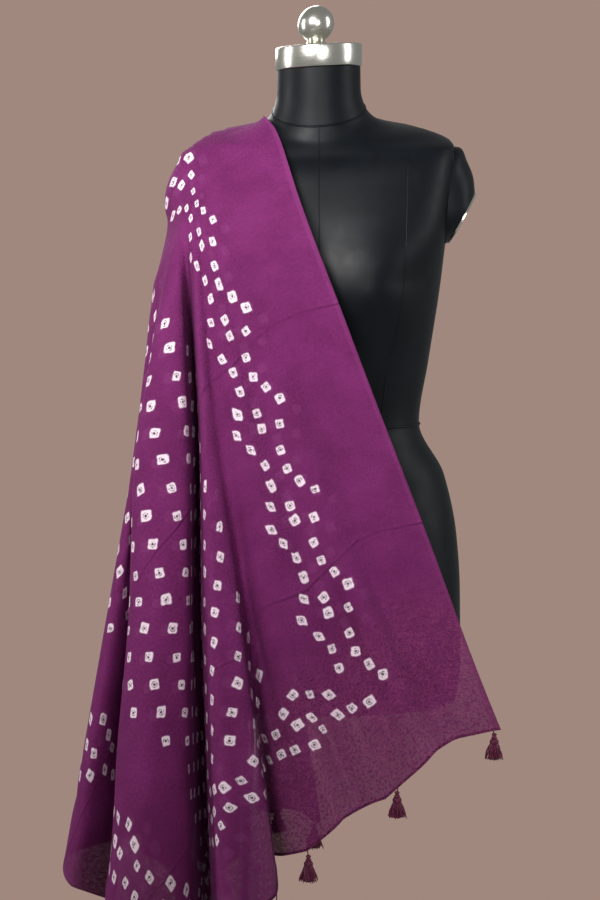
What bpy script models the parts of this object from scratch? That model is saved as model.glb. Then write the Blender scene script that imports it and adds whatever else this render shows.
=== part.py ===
"""A stole with tasselled ends, laid over one shoulder of a limbless dress form on a pole stand.

The cloth is one rectangle in flat measures: u runs across it from the selvedge beside the neck, v along it
from the shoulder line, towards the front when positive. Folds fan out from one point of the shoulder line,
so a point of the cloth is found from its distance and its angle round that point.
"""

import math
import random

import bpy
import numpy as np

# ---- dress form -------------------------------------------------------------
TORSO_BOTTOM = 0.732
TORSO_TOP = 1.525
NECK_TOP = 1.577
NECK_LEVELS = (1.532, 1.547, 1.562)
BAND_PROFILE = ((0.0, 0.97), (0.0012, 1.0), (0.0275, 1.0), (0.029, 0.96))  # rise, share of the radius
BAND_RADIUS = 0.0560
BALL_RADIUS = 0.0235
BALL_CENTRE = 1.6345
BALL_RINGS, BALL_SIDES, BALL_LAST = 10, 20, 1.4  # the last ring's height on the ball, radians
STEM_RADIUS = 0.011
STEM_PROFILE = ((0.0, 1.35), (0.0025, 1.35), (0.003, 1.0))  # rise, share of the radius
NECK_TILT = 0.42  # how far the neck seam drops towards the front, per metre
TILT_FROM = 1.44  # level where the torso starts to lean to the neck seam
ROLL = 0.055  # how far the shoulders rise towards +X, per metre
ROLL_FROM, ROLL_FULL = 1.30, 1.42  # levels between which the rise sets in
FINIAL_SHIFT = -0.0035  # the finial stands off centre because the band leans
SEAM_GAP = 0.0003
SEAM_SHARE = 0.00018  # how far each side of a seam in the cloth stands back
BODY_SIDES = 36

# level, half width, depth to the front, depth to the back
FORM_SECTIONS = (
    (0.480, 0.030, 0.020, 0.020),  # air under the torso, where cloth closes in
    (0.732, 0.178, 0.106, 0.110),
    (0.800, 0.188, 0.116, 0.122),
    (0.900, 0.187, 0.118, 0.128),
    (0.970, 0.182, 0.114, 0.122),
    (1.050, 0.165, 0.104, 0.104),
    (1.118, 0.132, 0.092, 0.084),
    (1.200, 0.144, 0.100, 0.090),
    (1.300, 0.159, 0.112, 0.104),
    (1.380, 0.168, 0.102, 0.106),
    (1.430, 0.174, 0.086, 0.098),
    (1.455, 0.176, 0.074, 0.086),
    (1.470, 0.175, 0.066, 0.078),
    (1.4855, 0.151, 0.061, 0.069),
    (1.4945, 0.121, 0.058, 0.063),
    (1.500, 0.090, 0.056, 0.058),
    (1.509, 0.072, 0.0545, 0.0550),
    (1.525, 0.0600, 0.0530, 0.0530),
    (1.548, 0.0545, 0.0525, 0.0525),
    (1.640, 0.0535, 0.0525, 0.0525),
)
BOTTOM_ROUNDING = ((0.0, 0.80), (0.004, 0.90), (0.014, 0.97), (0.034, 1.0))  # rise, share of the section
TORSO_LEVELS = (
    0.80, 0.85, 0.90, 0.95, 1.00, 1.04, 1.07, 1.10, 1.118, 1.135, 1.165, 1.20, 1.24, 1.27, 1.30, 1.33, 1.36,
    1.39, 1.42, 1.443, 1.458, 1.470, 1.4785, 1.4865, 1.4935, 1.500, 1.507, 1.516,
)  # of the rings between the rounded bottom and the neck seam
BUST = {"x": 0.082, "z": 1.298, "width": 0.062, "height": 0.066, "rise": 0.27}

STUMP_AXIS = (0.87, 0.0, -0.49)
STUMP_END = (0.1845, 0.0, 1.3755)
STUMP_INSET = 0.018  # the stump under the cloth is rounded off this much nearer the middle, with no plate
# distance from the end plate, radius up the shoulder, radius to front and back
STUMP_RINGS = (
    (-0.064, 0.050, 0.048),
    (-0.045, 0.066, 0.056),
    (-0.028, 0.065, 0.057),
    (-0.011, 0.053, 0.052),
    (0.0, 0.038, 0.043),
)
STUMP_CENTRE = (0.1375, 0.0, 1.4015)  # the egg that stands for the stump when cloth is laid on it
STUMP_EGG = (0.053, 0.068, 0.066)
STUMP_BLEND = 0.010
BODY_SCALE, EGG_SCALE = 0.060, 0.055  # these turn the two level functions into distances, roughly
LEAST_SLOPE, LONGEST_PUSH, PUSHES = 0.05, 0.030, 8  # how points are moved clear of the form
STUMP_SIDES = 24
PLATE_THICK = 0.003
PLATE_SCALE = 0.96

# ---- stand ------------------------------------------------------------------
POLE_RADIUS = 0.0125
POLE_SIDES = 24
POLE_X = -0.0925  # the pole enters the underside of the form on the stole's side
FOOT_PROFILE = ((0.0, 0.190), (0.0072, 0.190), (0.012, 0.185))  # level, radius
FOOT_SIDES = 48
SOCKET_PROFILE = ((0.0, 0.0375), (0.003, 0.0375), (0.010, 0.030), (0.038, 0.024))  # rise, radius

# ---- cloth ------------------------------------------------------------------
WIDTH = 1.000
LENGTH = 1.880
WALL = 0.0016
CLEARANCE = 0.0060  # cloth mid surface to the form
APEX = (-0.1700, 0.0, 1.4700)
APEX_U = 0.120
REFERENCE = 0.800  # distance from the apex at which the fold table is written
REFERENCE_VIEW = 0.790  # how far that is once the hang in depth is taken off
RIDGE_BEARING = 117.0  # bearing of the shoulder ridge towards the neck, degrees from straight down
FOLD_START = 0.145
FOLD_SOFTNESS = 0.05
FOLD_FADE = 40.0  # degrees beyond the selvedge rulings over which folds die out

# share of the width, how far the front end lies from the shoulder line
FRONT_DROP = (
    (0.0, 0.889),
    (0.055, 0.883),
    (0.09, 0.887),
    (0.13, 0.905),
    (0.18, 0.926),
    (0.25, 0.926),
    (0.31, 0.950),
    (0.42, 0.950),
    (0.60, 0.962),
    (1.0, 0.975),
)

# How the cloth would lie without folds: angle on the flat cloth, bearing from straight down towards the neck,
# and which face of the body it hangs on (-1 front, 0 side, 1 back)
HULL = (
    (-90.0, 117.0, -1.0),
    (-7.8, 28.7, -1.0),
    (12.0, 13.5, -1.0),
    (32.0, 3.0, -0.97),
    (50.0, -5.0, -0.85),
    (65.0, -8.8, -0.52),
    (80.0, -9.9, -0.10),
    (95.0, -9.6, 0.35),
    (112.0, -7.6, 0.75),
    (132.0, -3.0, 0.97),
    (158.0, 4.0, 1.0),
    (186.8, 10.6, 1.0),
    (270.0, 117.0, 1.0),
)
# Fold table at the reference distance: the fold line and where it stands, x and y
FOLDS = (
    ("selvedge", 0.2060, -0.138),
    ("front flat", 0.161, -0.148),
    ("front wave", 0.112, -0.172),
    ("front hollow", 0.054, -0.160),
    ("front roll", 0.000, -0.190),
    ("front roll end", -0.036, -0.186),
    ("first valley wall", -0.054, -0.150),
    ("first valley", -0.061, -0.120),
    ("first valley back", -0.070, -0.146),
    ("tube right", -0.081, -0.200),
    ("tube left", -0.114, -0.208),
    ("tube turn", -0.136, -0.160),
    ("second valley wall", -0.144, -0.112),
    ("second valley", -0.152, -0.080),
    ("second valley back", -0.160, -0.110),
    ("panel right", -0.172, -0.162),
    ("panel middle", -0.212, -0.176),
    ("panel left", -0.248, -0.146),
    ("panel tuck", -0.256, -0.100),
    ("third valley", -0.246, -0.052),
    ("third valley turn", -0.256, -0.037),
    ("lobe start", -0.272, -0.056),
    ("lobe front", -0.292, -0.082),
    ("lobe outer", -0.306, -0.062),
    ("lobe back", -0.304, -0.030),
    ("side valley", -0.214, -0.018),
    ("side turn", -0.212, 0.006),
    ("side roll front", -0.300, 0.008),
    ("side roll back", -0.306, 0.038),
    ("rear side valley", -0.214, 0.044),
    ("rear side turn", -0.210, 0.064),
    ("rear corner front", -0.294, 0.082),
    ("rear corner", -0.294, 0.118),
    ("back valley 1", -0.202, 0.086),
    ("back valley 1 turn", -0.188, 0.094),
    ("back roll 1", -0.236, 0.192),
    ("back roll 1 end", -0.212, 0.216),
    ("back valley 2", -0.162, 0.098),
    ("back valley 2 turn", -0.147, 0.100),
    ("back roll 2", -0.178, 0.214),
    ("back roll 2 end", -0.152, 0.224),
    ("back valley 3", -0.121, 0.116),
    ("back valley 3 turn", -0.107, 0.118),
    ("back roll 3", -0.124, 0.216),
    ("back roll 3 end", -0.098, 0.222),
    ("back valley 4", -0.080, 0.126),
    ("back valley 4 turn", -0.067, 0.127),
    ("back roll 4", -0.074, 0.206),
    ("back roll 4 end", -0.048, 0.206),
    ("back selvedge", -0.030, 0.165),
)
# distance below the shoulder ridge, how far the cloth hangs in front of it and behind it
HANG = (
    (0.0, 0.0, 0.0),
    (0.02, 0.0180, 0.0180),
    (0.04, 0.0350, 0.0345),
    (0.07, 0.0590, 0.0570),
    (0.11, 0.0880, 0.0810),
    (0.16, 0.1200, 0.1040),
    (0.21, 0.1400, 0.1170),
    (0.27, 0.1490, 0.1240),
    (0.35, 0.1520, 0.1290),
    (0.50, 0.1540, 0.1400),
    (0.80, 0.1580, 0.1620),
    (1.50, 0.1650, 0.1750),
)
# distance from the apex, how far the cloth's outer side swells out there
SWELL = (
    (0.0, 0.0),
    (0.06, 0.0),
    (0.12, 0.012),
    (0.17, 0.016),
    (0.22, 0.014),
    (0.28, 0.010),
    (0.35, 0.005),
    (0.45, 0.0),
    (2.0, 0.0),
)
# share of the way from the apex to the edge of the cloth
REACH = (
    0.0, 0.016, 0.036, 0.060, 0.088, 0.120, 0.156, 0.196, 0.240, 0.290, 0.350, 0.430, 0.530, 0.650, 0.770,
    0.885, 1.0,
)
EVEN_REACH = 0.85  # up to this distance the rings of the cloth stay even from one ruling to the next
LEAST_FALL = 0.25  # a stretch of cloth drops at least this share of its length
EVEN_WITHIN = 0.17  # the cloth is evened out up to this distance, less and less over the last EVEN_FADE
EVEN_FADE = 0.08
STRIP_FADE = 12.0  # degrees beyond the selvedge rulings where it is evened out all along
EVEN_PASSES = 5
FOLD_SAMPLES = 24  # steps of the fold curve from one row of the table to the next
COLUMN_EVERY = 12  # of those steps, how many lie between two rulings
# degrees from straight across, of the rulings that end in the selvedge
STRIP_ANGLES = (81.0, 72.0, 62.5, 53.0, 44.0, 36.0, 29.0, 23.0, 18.0, 14.0, 10.5)
LEAST_STEP = 1.0  # degrees, no two rulings stand closer

# ---- tassels ----------------------------------------------------------------
# where each tassel is tied, as a share of the width: front end, back end
TASSEL_PLACES = (
    (0.006, 0.006),
    (0.160, 0.150),
    (0.312, 0.330),
    (0.505, 0.497),
    (0.660, 0.685),
    (0.846, 0.805),
    (0.990, 0.985),
)
TASSEL_GAP = 0.0012
HEAD_PROFILE = ((0.0, 0.0018), (0.0030, 0.0036), (0.0058, 0.0022), (0.0090, 0.0054), (0.0140, 0.0046))
HEAD_SIDES = 10
HEAD_CORE = 0.45  # share of the head's last ring that stays closed between the locks
LOCK_LENGTH = 0.021
LOCK_FLARE = 0.0113
LOCK_CUT = (0.86, 1.0)  # shortest and longest, share of the length
# share of the lock's length, share of the flare, size against the root
LOCK_RINGS = ((0.5, 0.42, 1.9), (1.0, 0.80, 1.2))
SEED = 11


def rows(table, column):
    return np.array([row[column] for row in table], float)


def smooth(xs, ys, x):
    """Monotone cubic through (xs, ys)."""
    xs, ys, x = np.asarray(xs, float), np.asarray(ys, float), np.asarray(x, float)
    h = np.diff(xs)
    d = np.diff(ys) / h
    m = np.zeros_like(ys)
    same = d[:-1] * d[1:] > 0
    w1, w2 = 2 * h[1:] + h[:-1], h[1:] + 2 * h[:-1]
    safe = np.where(same, d[:-1], 1.0), np.where(same, d[1:], 1.0)
    m[1:-1] = np.where(same, (w1 + w2) / (w1 / safe[0] + w2 / safe[1]), 0.0)
    m[0], m[-1] = d[0], d[-1]
    x = np.clip(x, xs[0], xs[-1])
    k = np.clip(np.searchsorted(xs, x, side="right") - 1, 0, len(h) - 1)
    t = (x - xs[k]) / h[k]
    return (
        (1 + 2 * t) * (1 - t) ** 2 * ys[k]
        + t * (1 - t) ** 2 * h[k] * m[k]
        + t * t * (3 - 2 * t) * ys[k + 1]
        + t * t * (t - 1) * h[k] * m[k + 1]
    )


# ---- the form as a level function -------------------------------------------
def tilt(level):
    """How much the section at this level leans, in metres of height per metre of depth."""
    share = np.clip((level - TILT_FROM) / (TORSO_TOP - TILT_FROM), 0, 1)
    return NECK_TILT * share * share * (3 - 2 * share)


def roll(level):
    """How much the section at this level rises towards +X, in metres of height per metre."""
    share = np.clip((level - ROLL_FROM) / (ROLL_FULL - ROLL_FROM), 0, 1)
    return ROLL * share * share * (3 - 2 * share)


def depth_at(x, y, level):
    """Half depth of the section on the side that y is on, with the bust on the front."""
    front = smooth(rows(FORM_SECTIONS, 0), rows(FORM_SECTIONS, 2), level)
    back = smooth(rows(FORM_SECTIONS, 0), rows(FORM_SECTIONS, 3), level)
    aside = (np.abs(x) - BUST["x"]) / BUST["width"]
    above = (level - BUST["z"]) / BUST["height"]
    bump = np.exp(-(aside**2) - above**2)
    return np.where(y < 0, front * (1 + BUST["rise"] * bump), back)


def form_level(p):
    """Zero on the form, negative in it: torso and neck, or the stump on the cloth's side."""
    x, y, z = p[..., 0], p[..., 1], p[..., 2]
    level = z
    for _ in range(4):
        level = z - tilt(level) * y - roll(level) * x
    half = smooth(rows(FORM_SECTIONS, 0), rows(FORM_SECTIONS, 1), level)
    body = (np.sqrt((x / half) ** 2 + (y / depth_at(x, y, level)) ** 2 + 1e-9) - 1) * BODY_SCALE
    along = np.array((-STUMP_AXIS[0], 0.0, STUMP_AXIS[2]))
    up = np.array((STUMP_AXIS[2], 0.0, STUMP_AXIS[0]))
    centre = np.array((-STUMP_CENTRE[0], 0.0, STUMP_CENTRE[2]))
    q = np.stack([x, y, z - roll(level) * x], -1) - centre
    squares = (q @ along / STUMP_EGG[0]) ** 2 + (q @ up / STUMP_EGG[1]) ** 2 + (q[..., 1] / STUMP_EGG[2]) ** 2
    egg = (np.sqrt(squares + 1e-9) - 1) * EGG_SCALE
    share = np.clip(0.5 + 0.5 * (egg - body) / STUMP_BLEND, 0, 1)
    return egg + (body - egg) * share - STUMP_BLEND * share * (1 - share)


def clear_of_form(p, clearance):
    """Moves points out along the form's normal until they are clear of it."""
    step = 1e-4
    steps = step * np.eye(3)
    p = p.copy()
    for _ in range(PUSHES):
        f = form_level(p)
        grad = np.stack([form_level(p + s) - form_level(p - s) for s in steps], -1) / (2 * step)
        size = np.maximum(np.linalg.norm(grad, axis=-1), LEAST_SLOPE)
        lack = np.maximum(clearance - f / size, 0)
        p += np.minimum(lack, LONGEST_PUSH)[..., None] * grad / size[..., None]
    return p


# ---- the cloth as a function of angle and distance --------------------------
def fold_curve():
    """Dense samples of the fold table: angle on the flat cloth, x and y there, and the curve's length."""
    p = np.array([row[1:3] for row in FOLDS])
    ghost = np.vstack([2 * p[0] - p[1], p, 2 * p[-1] - p[-2]])
    knots = np.concatenate([[0], np.cumsum(np.sqrt(np.linalg.norm(np.diff(ghost, axis=0), axis=1)))])
    out = []
    for k in range(1, len(ghost) - 2):
        t = np.linspace(knots[k], knots[k + 1], FOLD_SAMPLES, endpoint=False)[:, None]
        t0, t1, t2, t3 = knots[k - 1 : k + 3]
        a1 = (t1 - t) / (t1 - t0) * ghost[k - 1] + (t - t0) / (t1 - t0) * ghost[k]
        a2 = (t2 - t) / (t2 - t1) * ghost[k] + (t - t1) / (t2 - t1) * ghost[k + 1]
        a3 = (t3 - t) / (t3 - t2) * ghost[k + 1] + (t - t2) / (t3 - t2) * ghost[k + 2]
        b1 = (t2 - t) / (t2 - t0) * a1 + (t - t0) / (t2 - t0) * a2
        b2 = (t3 - t) / (t3 - t1) * a2 + (t - t1) / (t3 - t1) * a3
        out.append((t2 - t) / (t2 - t1) * b1 + (t - t1) / (t2 - t1) * b2)
    curve = np.vstack(out + [p[-1:]])
    run = np.concatenate([[0], np.cumsum(np.linalg.norm(np.diff(curve, axis=0), axis=1))])
    start, end = edge_angle("front"), edge_angle("back")
    angle = start + (end - start) * run / run[-1]
    return angle, curve[:, 0], curve[:, 1], run[-1]


def edge_angle(which):
    """Angle of the ruling that ends in the corner beside the selvedge at the neck."""
    drop = FRONT_DROP[0][1] if which == "front" else FRONT_DROP[0][1] - LENGTH
    return math.degrees(math.atan2(-APEX_U, drop)) % 360 - (360 if which == "front" else 0)


def outline():
    """Angle and distance from the apex of the cloth's edge, all the way round."""
    n = 400
    u = np.linspace(0, WIDTH, n)
    drop = np.interp(u / WIDTH, rows(FRONT_DROP, 0), rows(FRONT_DROP, 1))
    edges = [
        np.stack([np.zeros(n), np.linspace(0, drop[0], n)], 1),
        np.stack([u, drop], 1),
        np.stack([np.full(n, WIDTH), np.linspace(drop[-1], drop[-1] - LENGTH, n)], 1),
        np.stack([u[::-1], (drop - LENGTH)[::-1]], 1),
        np.stack([np.zeros(n), np.linspace(drop[0] - LENGTH, 0, n)], 1),
    ]
    flat = np.vstack(edges) - (APEX_U, 0)
    angle = np.degrees(np.unwrap(np.arctan2(flat[:, 0], flat[:, 1])))
    return angle, np.linalg.norm(flat, axis=1)


def fold_growth(r):
    """How deep a fold is at distance r, as a share of its depth at the reference."""
    d = r - FOLD_START
    d_ref = REFERENCE - FOLD_START
    grow = 0.5 * (d + np.sqrt(d * d + FOLD_SOFTNESS**2))
    rest = 0.5 * (-FOLD_START + math.hypot(FOLD_START, FOLD_SOFTNESS))
    full = 0.5 * (d_ref + math.hypot(d_ref, FOLD_SOFTNESS)) - rest
    return (grow - rest) / full


def cloth_points(angle, reach, samples=90):
    """Points of the cloth's middle surface on rulings at these angles, at these distances along them."""
    fold_angle, fold_x, fold_y, _ = fold_curve()
    hanging = (angle >= fold_angle[0]) & (angle <= fold_angle[-1])
    bearing = np.radians(smooth(rows(HULL, 0), rows(HULL, 1), angle))
    side = smooth(rows(HULL, 0), rows(HULL, 2), angle)
    below = np.sin(np.clip(math.radians(RIDGE_BEARING) - bearing, 0, math.pi / 2))
    r = reach.max(1)[:, None] * np.linspace(0, 1, samples)[None, :]
    fall = r * below[:, None]
    front = smooth(rows(HANG, 0), rows(HANG, 1), fall)
    back = smooth(rows(HANG, 0), rows(HANG, 2), fall)
    hull = np.where(side[:, None] < 0, front, back) * side[:, None]
    front_ref, back_ref = (np.interp(REFERENCE, rows(HANG, 0), rows(HANG, column)) for column in (1, 2))
    hull_ref = np.where(side < 0, front_ref, back_ref) * side
    fade = 1 - np.clip(np.maximum(fold_angle[0] - angle, angle - fold_angle[-1]) / FOLD_FADE, 0, 1)
    unfolded_x = APEX[0] + REFERENCE_VIEW * np.sin(np.where(hanging, bearing, 0))
    shift_x = (np.interp(angle, fold_angle, fold_x) - unfolded_x) * hanging
    shift_y = (np.interp(angle, fold_angle, fold_y) - hull_ref) * fade
    growth = fold_growth(r)
    y = hull + shift_y[:, None] * growth
    dr, dy = np.diff(r, axis=1), np.diff(y, axis=1)
    ridge = math.radians(RIDGE_BEARING)
    along = np.maximum(np.cos(ridge - bearing), 0)  # share of the way that runs straight along the shoulder
    down = np.minimum(bearing, ridge - math.pi / 2)
    dq = np.sqrt(np.maximum((below[:, None] * dr) ** 2 - dy**2, (LEAST_FALL * below[:, None] * dr) ** 2))
    q = np.concatenate([np.zeros((len(angle), 1)), np.cumsum(dq, axis=1)], axis=1)
    out = np.empty(reach.shape + (3,))
    for k in range(len(angle)):
        sunk = np.interp(reach[k], r[k], q[k])
        run = reach[k] * along[k]
        swell = np.interp(reach[k], rows(SWELL, 0), rows(SWELL, 1)) * (1 - side[k] ** 2)
        aside = run * math.sin(ridge) + sunk * math.sin(down[k])
        out[k, :, 0] = APEX[0] + aside + shift_x[k] * fold_growth(reach[k]) - swell
        out[k, :, 1] = APEX[1] + np.interp(reach[k], r[k], y[k])
        out[k, :, 2] = APEX[2] - run * math.cos(ridge) - sunk * math.cos(down[k])
    return clear_of_form(out, CLEARANCE)


def ruling_angles():
    """Angles of the rulings, with one through each corner and through the shoulder line on both sides."""
    a0, a1 = edge_angle("front"), edge_angle("back")
    drop = FRONT_DROP[-1][1]
    corner_front = math.degrees(math.atan2(WIDTH - APEX_U, drop))
    corner_back = math.degrees(math.atan2(WIDTH - APEX_U, drop - LENGTH))
    stops = [-90.0, a0, corner_front, 90.0, corner_back, a1, 270.0]
    strip = np.array(STRIP_ANGLES)
    spread = list(-strip) + list(fold_curve()[0][::COLUMN_EVERY]) + list(180 + strip[::-1])
    kept = []
    for angle in spread:
        if min(abs(angle - other) for other in stops + kept[-1:]) > LEAST_STEP:
            kept.append(angle)
    return np.array(sorted(stops + kept))


def settle(mid, angles, reach):
    """Evens the cloth out on the shoulder and beside the neck, then lays it back on the form."""
    beyond = np.maximum(edge_angle("front") - angles, angles - edge_angle("back"))[:, None]
    loose = np.clip(np.maximum((EVEN_WITHIN - reach) / EVEN_FADE, beyond / STRIP_FADE), 0, 1)[..., None] * 0.5
    loose[:, -1] = 0
    for _ in range(EVEN_PASSES):
        ring = np.concatenate([mid[-2:-1], mid, mid[1:2]])
        mean = (ring[:-2] + ring[2:]) / 2
        mean[:, 1:-1] = (mean[:, 1:-1] + (mid[:, :-2] + mid[:, 2:]) / 2) / 2
        mid = mid + loose * (mean - mid)
        mid[:, 0] = mid[:, 1].mean(0)
    return clear_of_form(mid, CLEARANCE)


def cloth_walls():
    """Ruling angles, the wall's middle surface, its normals, and the directions across the rulings."""
    angles = ruling_angles()
    edge_a, edge_r = outline()
    full = np.interp(angles, edge_a, edge_r)
    near = np.minimum(full, EVEN_REACH)[:, None]
    share = np.array(REACH)[None, :]
    reach = share * (near + (full[:, None] - near) * share)
    mid = settle(cloth_points(angles, reach), angles, reach)
    cell = np.cross(mid[1:, 1:] - mid[:-1, :-1], mid[:-1, 1:] - mid[1:, :-1])
    cell /= np.maximum(np.linalg.norm(cell, axis=-1, keepdims=True), 1e-12)
    cell = np.concatenate([cell[-1:], cell, cell[:1]])
    cell = np.concatenate([cell[:, :1], cell, cell[:, -1:]], axis=1)
    normal = cell[1:, 1:] + cell[:-1, 1:] + cell[1:, :-1] + cell[:-1, :-1]
    normal[:, 0] = normal[:, 0].mean(0)
    normal /= np.linalg.norm(normal, axis=-1, keepdims=True)
    across = np.gradient(np.concatenate([mid[-2:-1], mid, mid[1:2]]), axis=0)[1:-1]
    across[0] = across[-1] = (across[0] + across[-1]) / 2
    across[:, 0] = (0, 0, 0)
    across /= np.maximum(np.linalg.norm(across, axis=-1, keepdims=True), 1e-9)
    return angles, mid, normal, across


# ---- mesh helpers -----------------------------------------------------------
def material(name, colour, roughness=0.6, metallic=0.0):
    m = bpy.data.materials.new(name)
    m.use_nodes = True
    p = m.node_tree.nodes["Principled BSDF"]
    p.inputs["Base Color"].default_value = (*colour, 1)
    p.inputs["Roughness"].default_value = roughness
    p.inputs["Metallic"].default_value = metallic
    return m


def add(name, vertices, faces, finish, collection):
    mesh = bpy.data.meshes.new(name)
    mesh.from_pydata([tuple(map(float, v)) for v in vertices], [], faces)
    mesh.update()
    mesh.materials.append(finish)
    ob = bpy.data.objects.new(name, mesh)
    collection.objects.link(ob)
    return ob


def ring_solid(rings):
    """Closed solid through rings of equal count, bottom ring first, each counter-clockwise from above."""
    n = len(rings[0])
    vertices = [v for ring in rings for v in ring]
    faces = [tuple(range(n))[::-1], tuple(range((len(rings) - 1) * n, len(rings) * n))]
    for k in range(len(rings) - 1):
        for i in range(n):
            j = (i + 1) % n
            faces.append((k * n + i, k * n + j, (k + 1) * n + j, (k + 1) * n + i))
    return vertices, faces


def circle(radius, z, sides, x=0.0, y=0.0):
    turns = [2 * math.pi * i / sides for i in range(sides)]
    return [(x + radius * math.cos(turn), y + radius * math.sin(turn), z) for turn in turns]


# ---- form -------------------------------------------------------------------
def torso_ring(level, share=1.0, drop=0.0):
    turn = np.arange(BODY_SIDES) * 2 * math.pi / BODY_SIDES
    half = float(smooth(rows(FORM_SECTIONS, 0), rows(FORM_SECTIONS, 1), level))
    x = half * np.cos(turn)
    y = np.sin(turn)
    y = y * depth_at(x, y, np.full(BODY_SIDES, level))
    z = level + drop + float(tilt(level)) * y + float(roll(level)) * x
    return [(x[i] * share, y[i] * share, z[i]) for i in range(BODY_SIDES)]


def rolled(ring):
    return [(x, y, z + ROLL * x) for x, y, z in ring]


def stump_rings(side):
    along, up = np.array(STUMP_AXIS), np.array((-STUMP_AXIS[2], 0.0, STUMP_AXIS[0]))
    rings = []
    for distance, lift, deep in STUMP_RINGS:
        centre = np.array(STUMP_END) + distance * along
        ring = []
        for i in range(STUMP_SIDES):
            t = 2 * math.pi * i / STUMP_SIDES
            p = centre + math.cos(t) * lift * up + math.sin(t) * deep * np.array((0.0, 1.0, 0.0))
            x = side * p[0] + (STUMP_INSET if side < 0 else 0.0)
            ring.append((x, p[1], p[2] + ROLL * x))
        rings.append(ring if side < 0 else ring[::-1])
    return rings


def build_form(collection, black, metal):
    rounding = BOTTOM_ROUNDING[-1][0]
    rings = [torso_ring(TORSO_BOTTOM + rounding, share, rise - rounding) for rise, share in BOTTOM_ROUNDING]
    rings += [torso_ring(level) for level in (*TORSO_LEVELS, TORSO_TOP)]
    torso = add("form_torso", *ring_solid(rings), black, collection)
    for side in (-1, 1):
        stump = add("stump", *ring_solid(stump_rings(side)), black, collection)
        union = torso.modifiers.new("stump", "BOOLEAN")
        union.operation, union.solver, union.object = "UNION", "EXACT", stump
        bpy.context.view_layer.update()
        whole = bpy.data.meshes.new_from_object(torso.evaluated_get(bpy.context.evaluated_depsgraph_get()))
        torso.modifiers.clear()
        torso.data = whole
        bpy.data.objects.remove(stump)
    torso.data.name = "form_torso"
    end = stump_rings(1)[-1]
    middle = np.mean(end, axis=0)
    plate = []
    for distance in (SEAM_GAP, SEAM_GAP + PLATE_THICK):
        centre = middle + distance * np.array(STUMP_AXIS)
        plate.append([tuple(centre + PLATE_SCALE * (np.array(p) - middle)) for p in end])
    add("form_arm_plate", *ring_solid(plate), metal, collection)
    neck = []
    for level in (TORSO_TOP, *NECK_LEVELS, NECK_TOP):
        share = (level - TORSO_TOP) / (NECK_TOP - TORSO_TOP)
        ring = torso_ring(level)
        lean = NECK_TILT * (1 - share)
        neck.append([(x, y, level + SEAM_GAP + lean * y + ROLL * x) for x, y, _ in ring])
    add("form_neck", *ring_solid(neck), black, collection)
    base = NECK_TOP + 2 * SEAM_GAP
    band = [circle(BAND_RADIUS * share, base + rise, BODY_SIDES) for rise, share in BAND_PROFILE]
    add("form_neck_band", *ring_solid([rolled(ring) for ring in band]), metal, collection)
    foot = base + BAND_PROFILE[-1][0] + SEAM_GAP
    ball = [circle(STEM_RADIUS * share, foot + rise, BALL_SIDES) for rise, share in STEM_PROFILE]
    low = math.asin(-math.sqrt(1 - (STEM_RADIUS / BALL_RADIUS) ** 2))
    for k in range(BALL_RINGS + 1):
        a = low + (BALL_LAST - low) * k / BALL_RINGS
        ball.append(circle(BALL_RADIUS * math.cos(a), BALL_CENTRE + BALL_RADIUS * math.sin(a), BALL_SIDES))
    ball = [[(x + FINIAL_SHIFT, y, z) for x, y, z in rolled(ring)] for ring in ball]
    add("form_finial", *ring_solid(ball), metal, collection)


def build_stand(collection, metal):
    foot = [circle(radius, level, FOOT_SIDES) for level, radius in FOOT_PROFILE]
    add("stand_base", *ring_solid(foot), metal, collection)
    floor = FOOT_PROFILE[-1][0] + SEAM_GAP
    socket = [circle(radius, floor + rise, POLE_SIDES, POLE_X) for rise, radius in SOCKET_PROFILE]
    add("stand_socket", *ring_solid(socket), metal, collection)
    low, high = floor + SOCKET_PROFILE[-1][0] + SEAM_GAP, TORSO_BOTTOM - SEAM_GAP
    pole = [circle(POLE_RADIUS, level, POLE_SIDES, POLE_X) for level in (low, high)]
    add("stand_pole", *ring_solid(pole), metal, collection)


# ---- cloth solids -----------------------------------------------------------
def half_cloth(name, mid, normal, across, first, last, finish, collection):
    """The wall between two rulings that lie on the shoulder line, each moved off the line by half a seam."""
    pick = np.arange(first, last + 1)
    points = mid[pick].copy()
    points[0] += across[first] * SEAM_SHARE
    points[-1] -= across[last] * SEAM_SHARE
    points[:, 0, 1] += math.copysign(SEAM_SHARE, points[len(pick) // 2, -1, 1])
    sheets = (points - normal[pick] * WALL / 2, points + normal[pick] * WALL / 2)
    columns, ranks = len(pick), len(REACH)
    vertices, index = [], []
    for sheet in sheets:
        at = np.empty((columns, ranks), int)
        at[:, 0] = len(vertices)
        vertices.append(sheet[columns // 2, 0])
        for c in range(columns):
            for k in range(1, ranks):
                at[c, k] = len(vertices)
                vertices.append(sheet[c, k])
        index.append(at)
    one_way = np.linalg.norm(points[:-1, :-1] - points[1:, 1:], axis=-1)
    other_way = np.linalg.norm(points[1:, :-1] - points[:-1, 1:], axis=-1)
    falling = one_way < other_way
    faces = []
    for which, at in enumerate(index):
        for c in range(columns - 1):
            for k in range(ranks - 1):
                a, b, d, e = at[c, k], at[c + 1, k], at[c + 1, k + 1], at[c, k + 1]
                if k == 0:
                    halves = [(b, d, e)]
                elif falling[c, k]:
                    halves = [(a, b, d), (a, d, e)]
                else:
                    halves = [(a, b, e), (b, d, e)]
                faces += halves if which == 1 else [half[::-1] for half in halves]
    inner, outer = index
    rim = [(0, k) for k in range(ranks)] + [(c, ranks - 1) for c in range(1, columns)]
    rim += [(columns - 1, k) for k in range(ranks - 2, 0, -1)]
    for a, b in zip(rim, rim[1:] + rim[:1]):
        faces.append((outer[a], outer[b], inner[b], inner[a]))
    return add(name, vertices, [tuple(int(i) for i in f) for f in faces], finish, collection)


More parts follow.
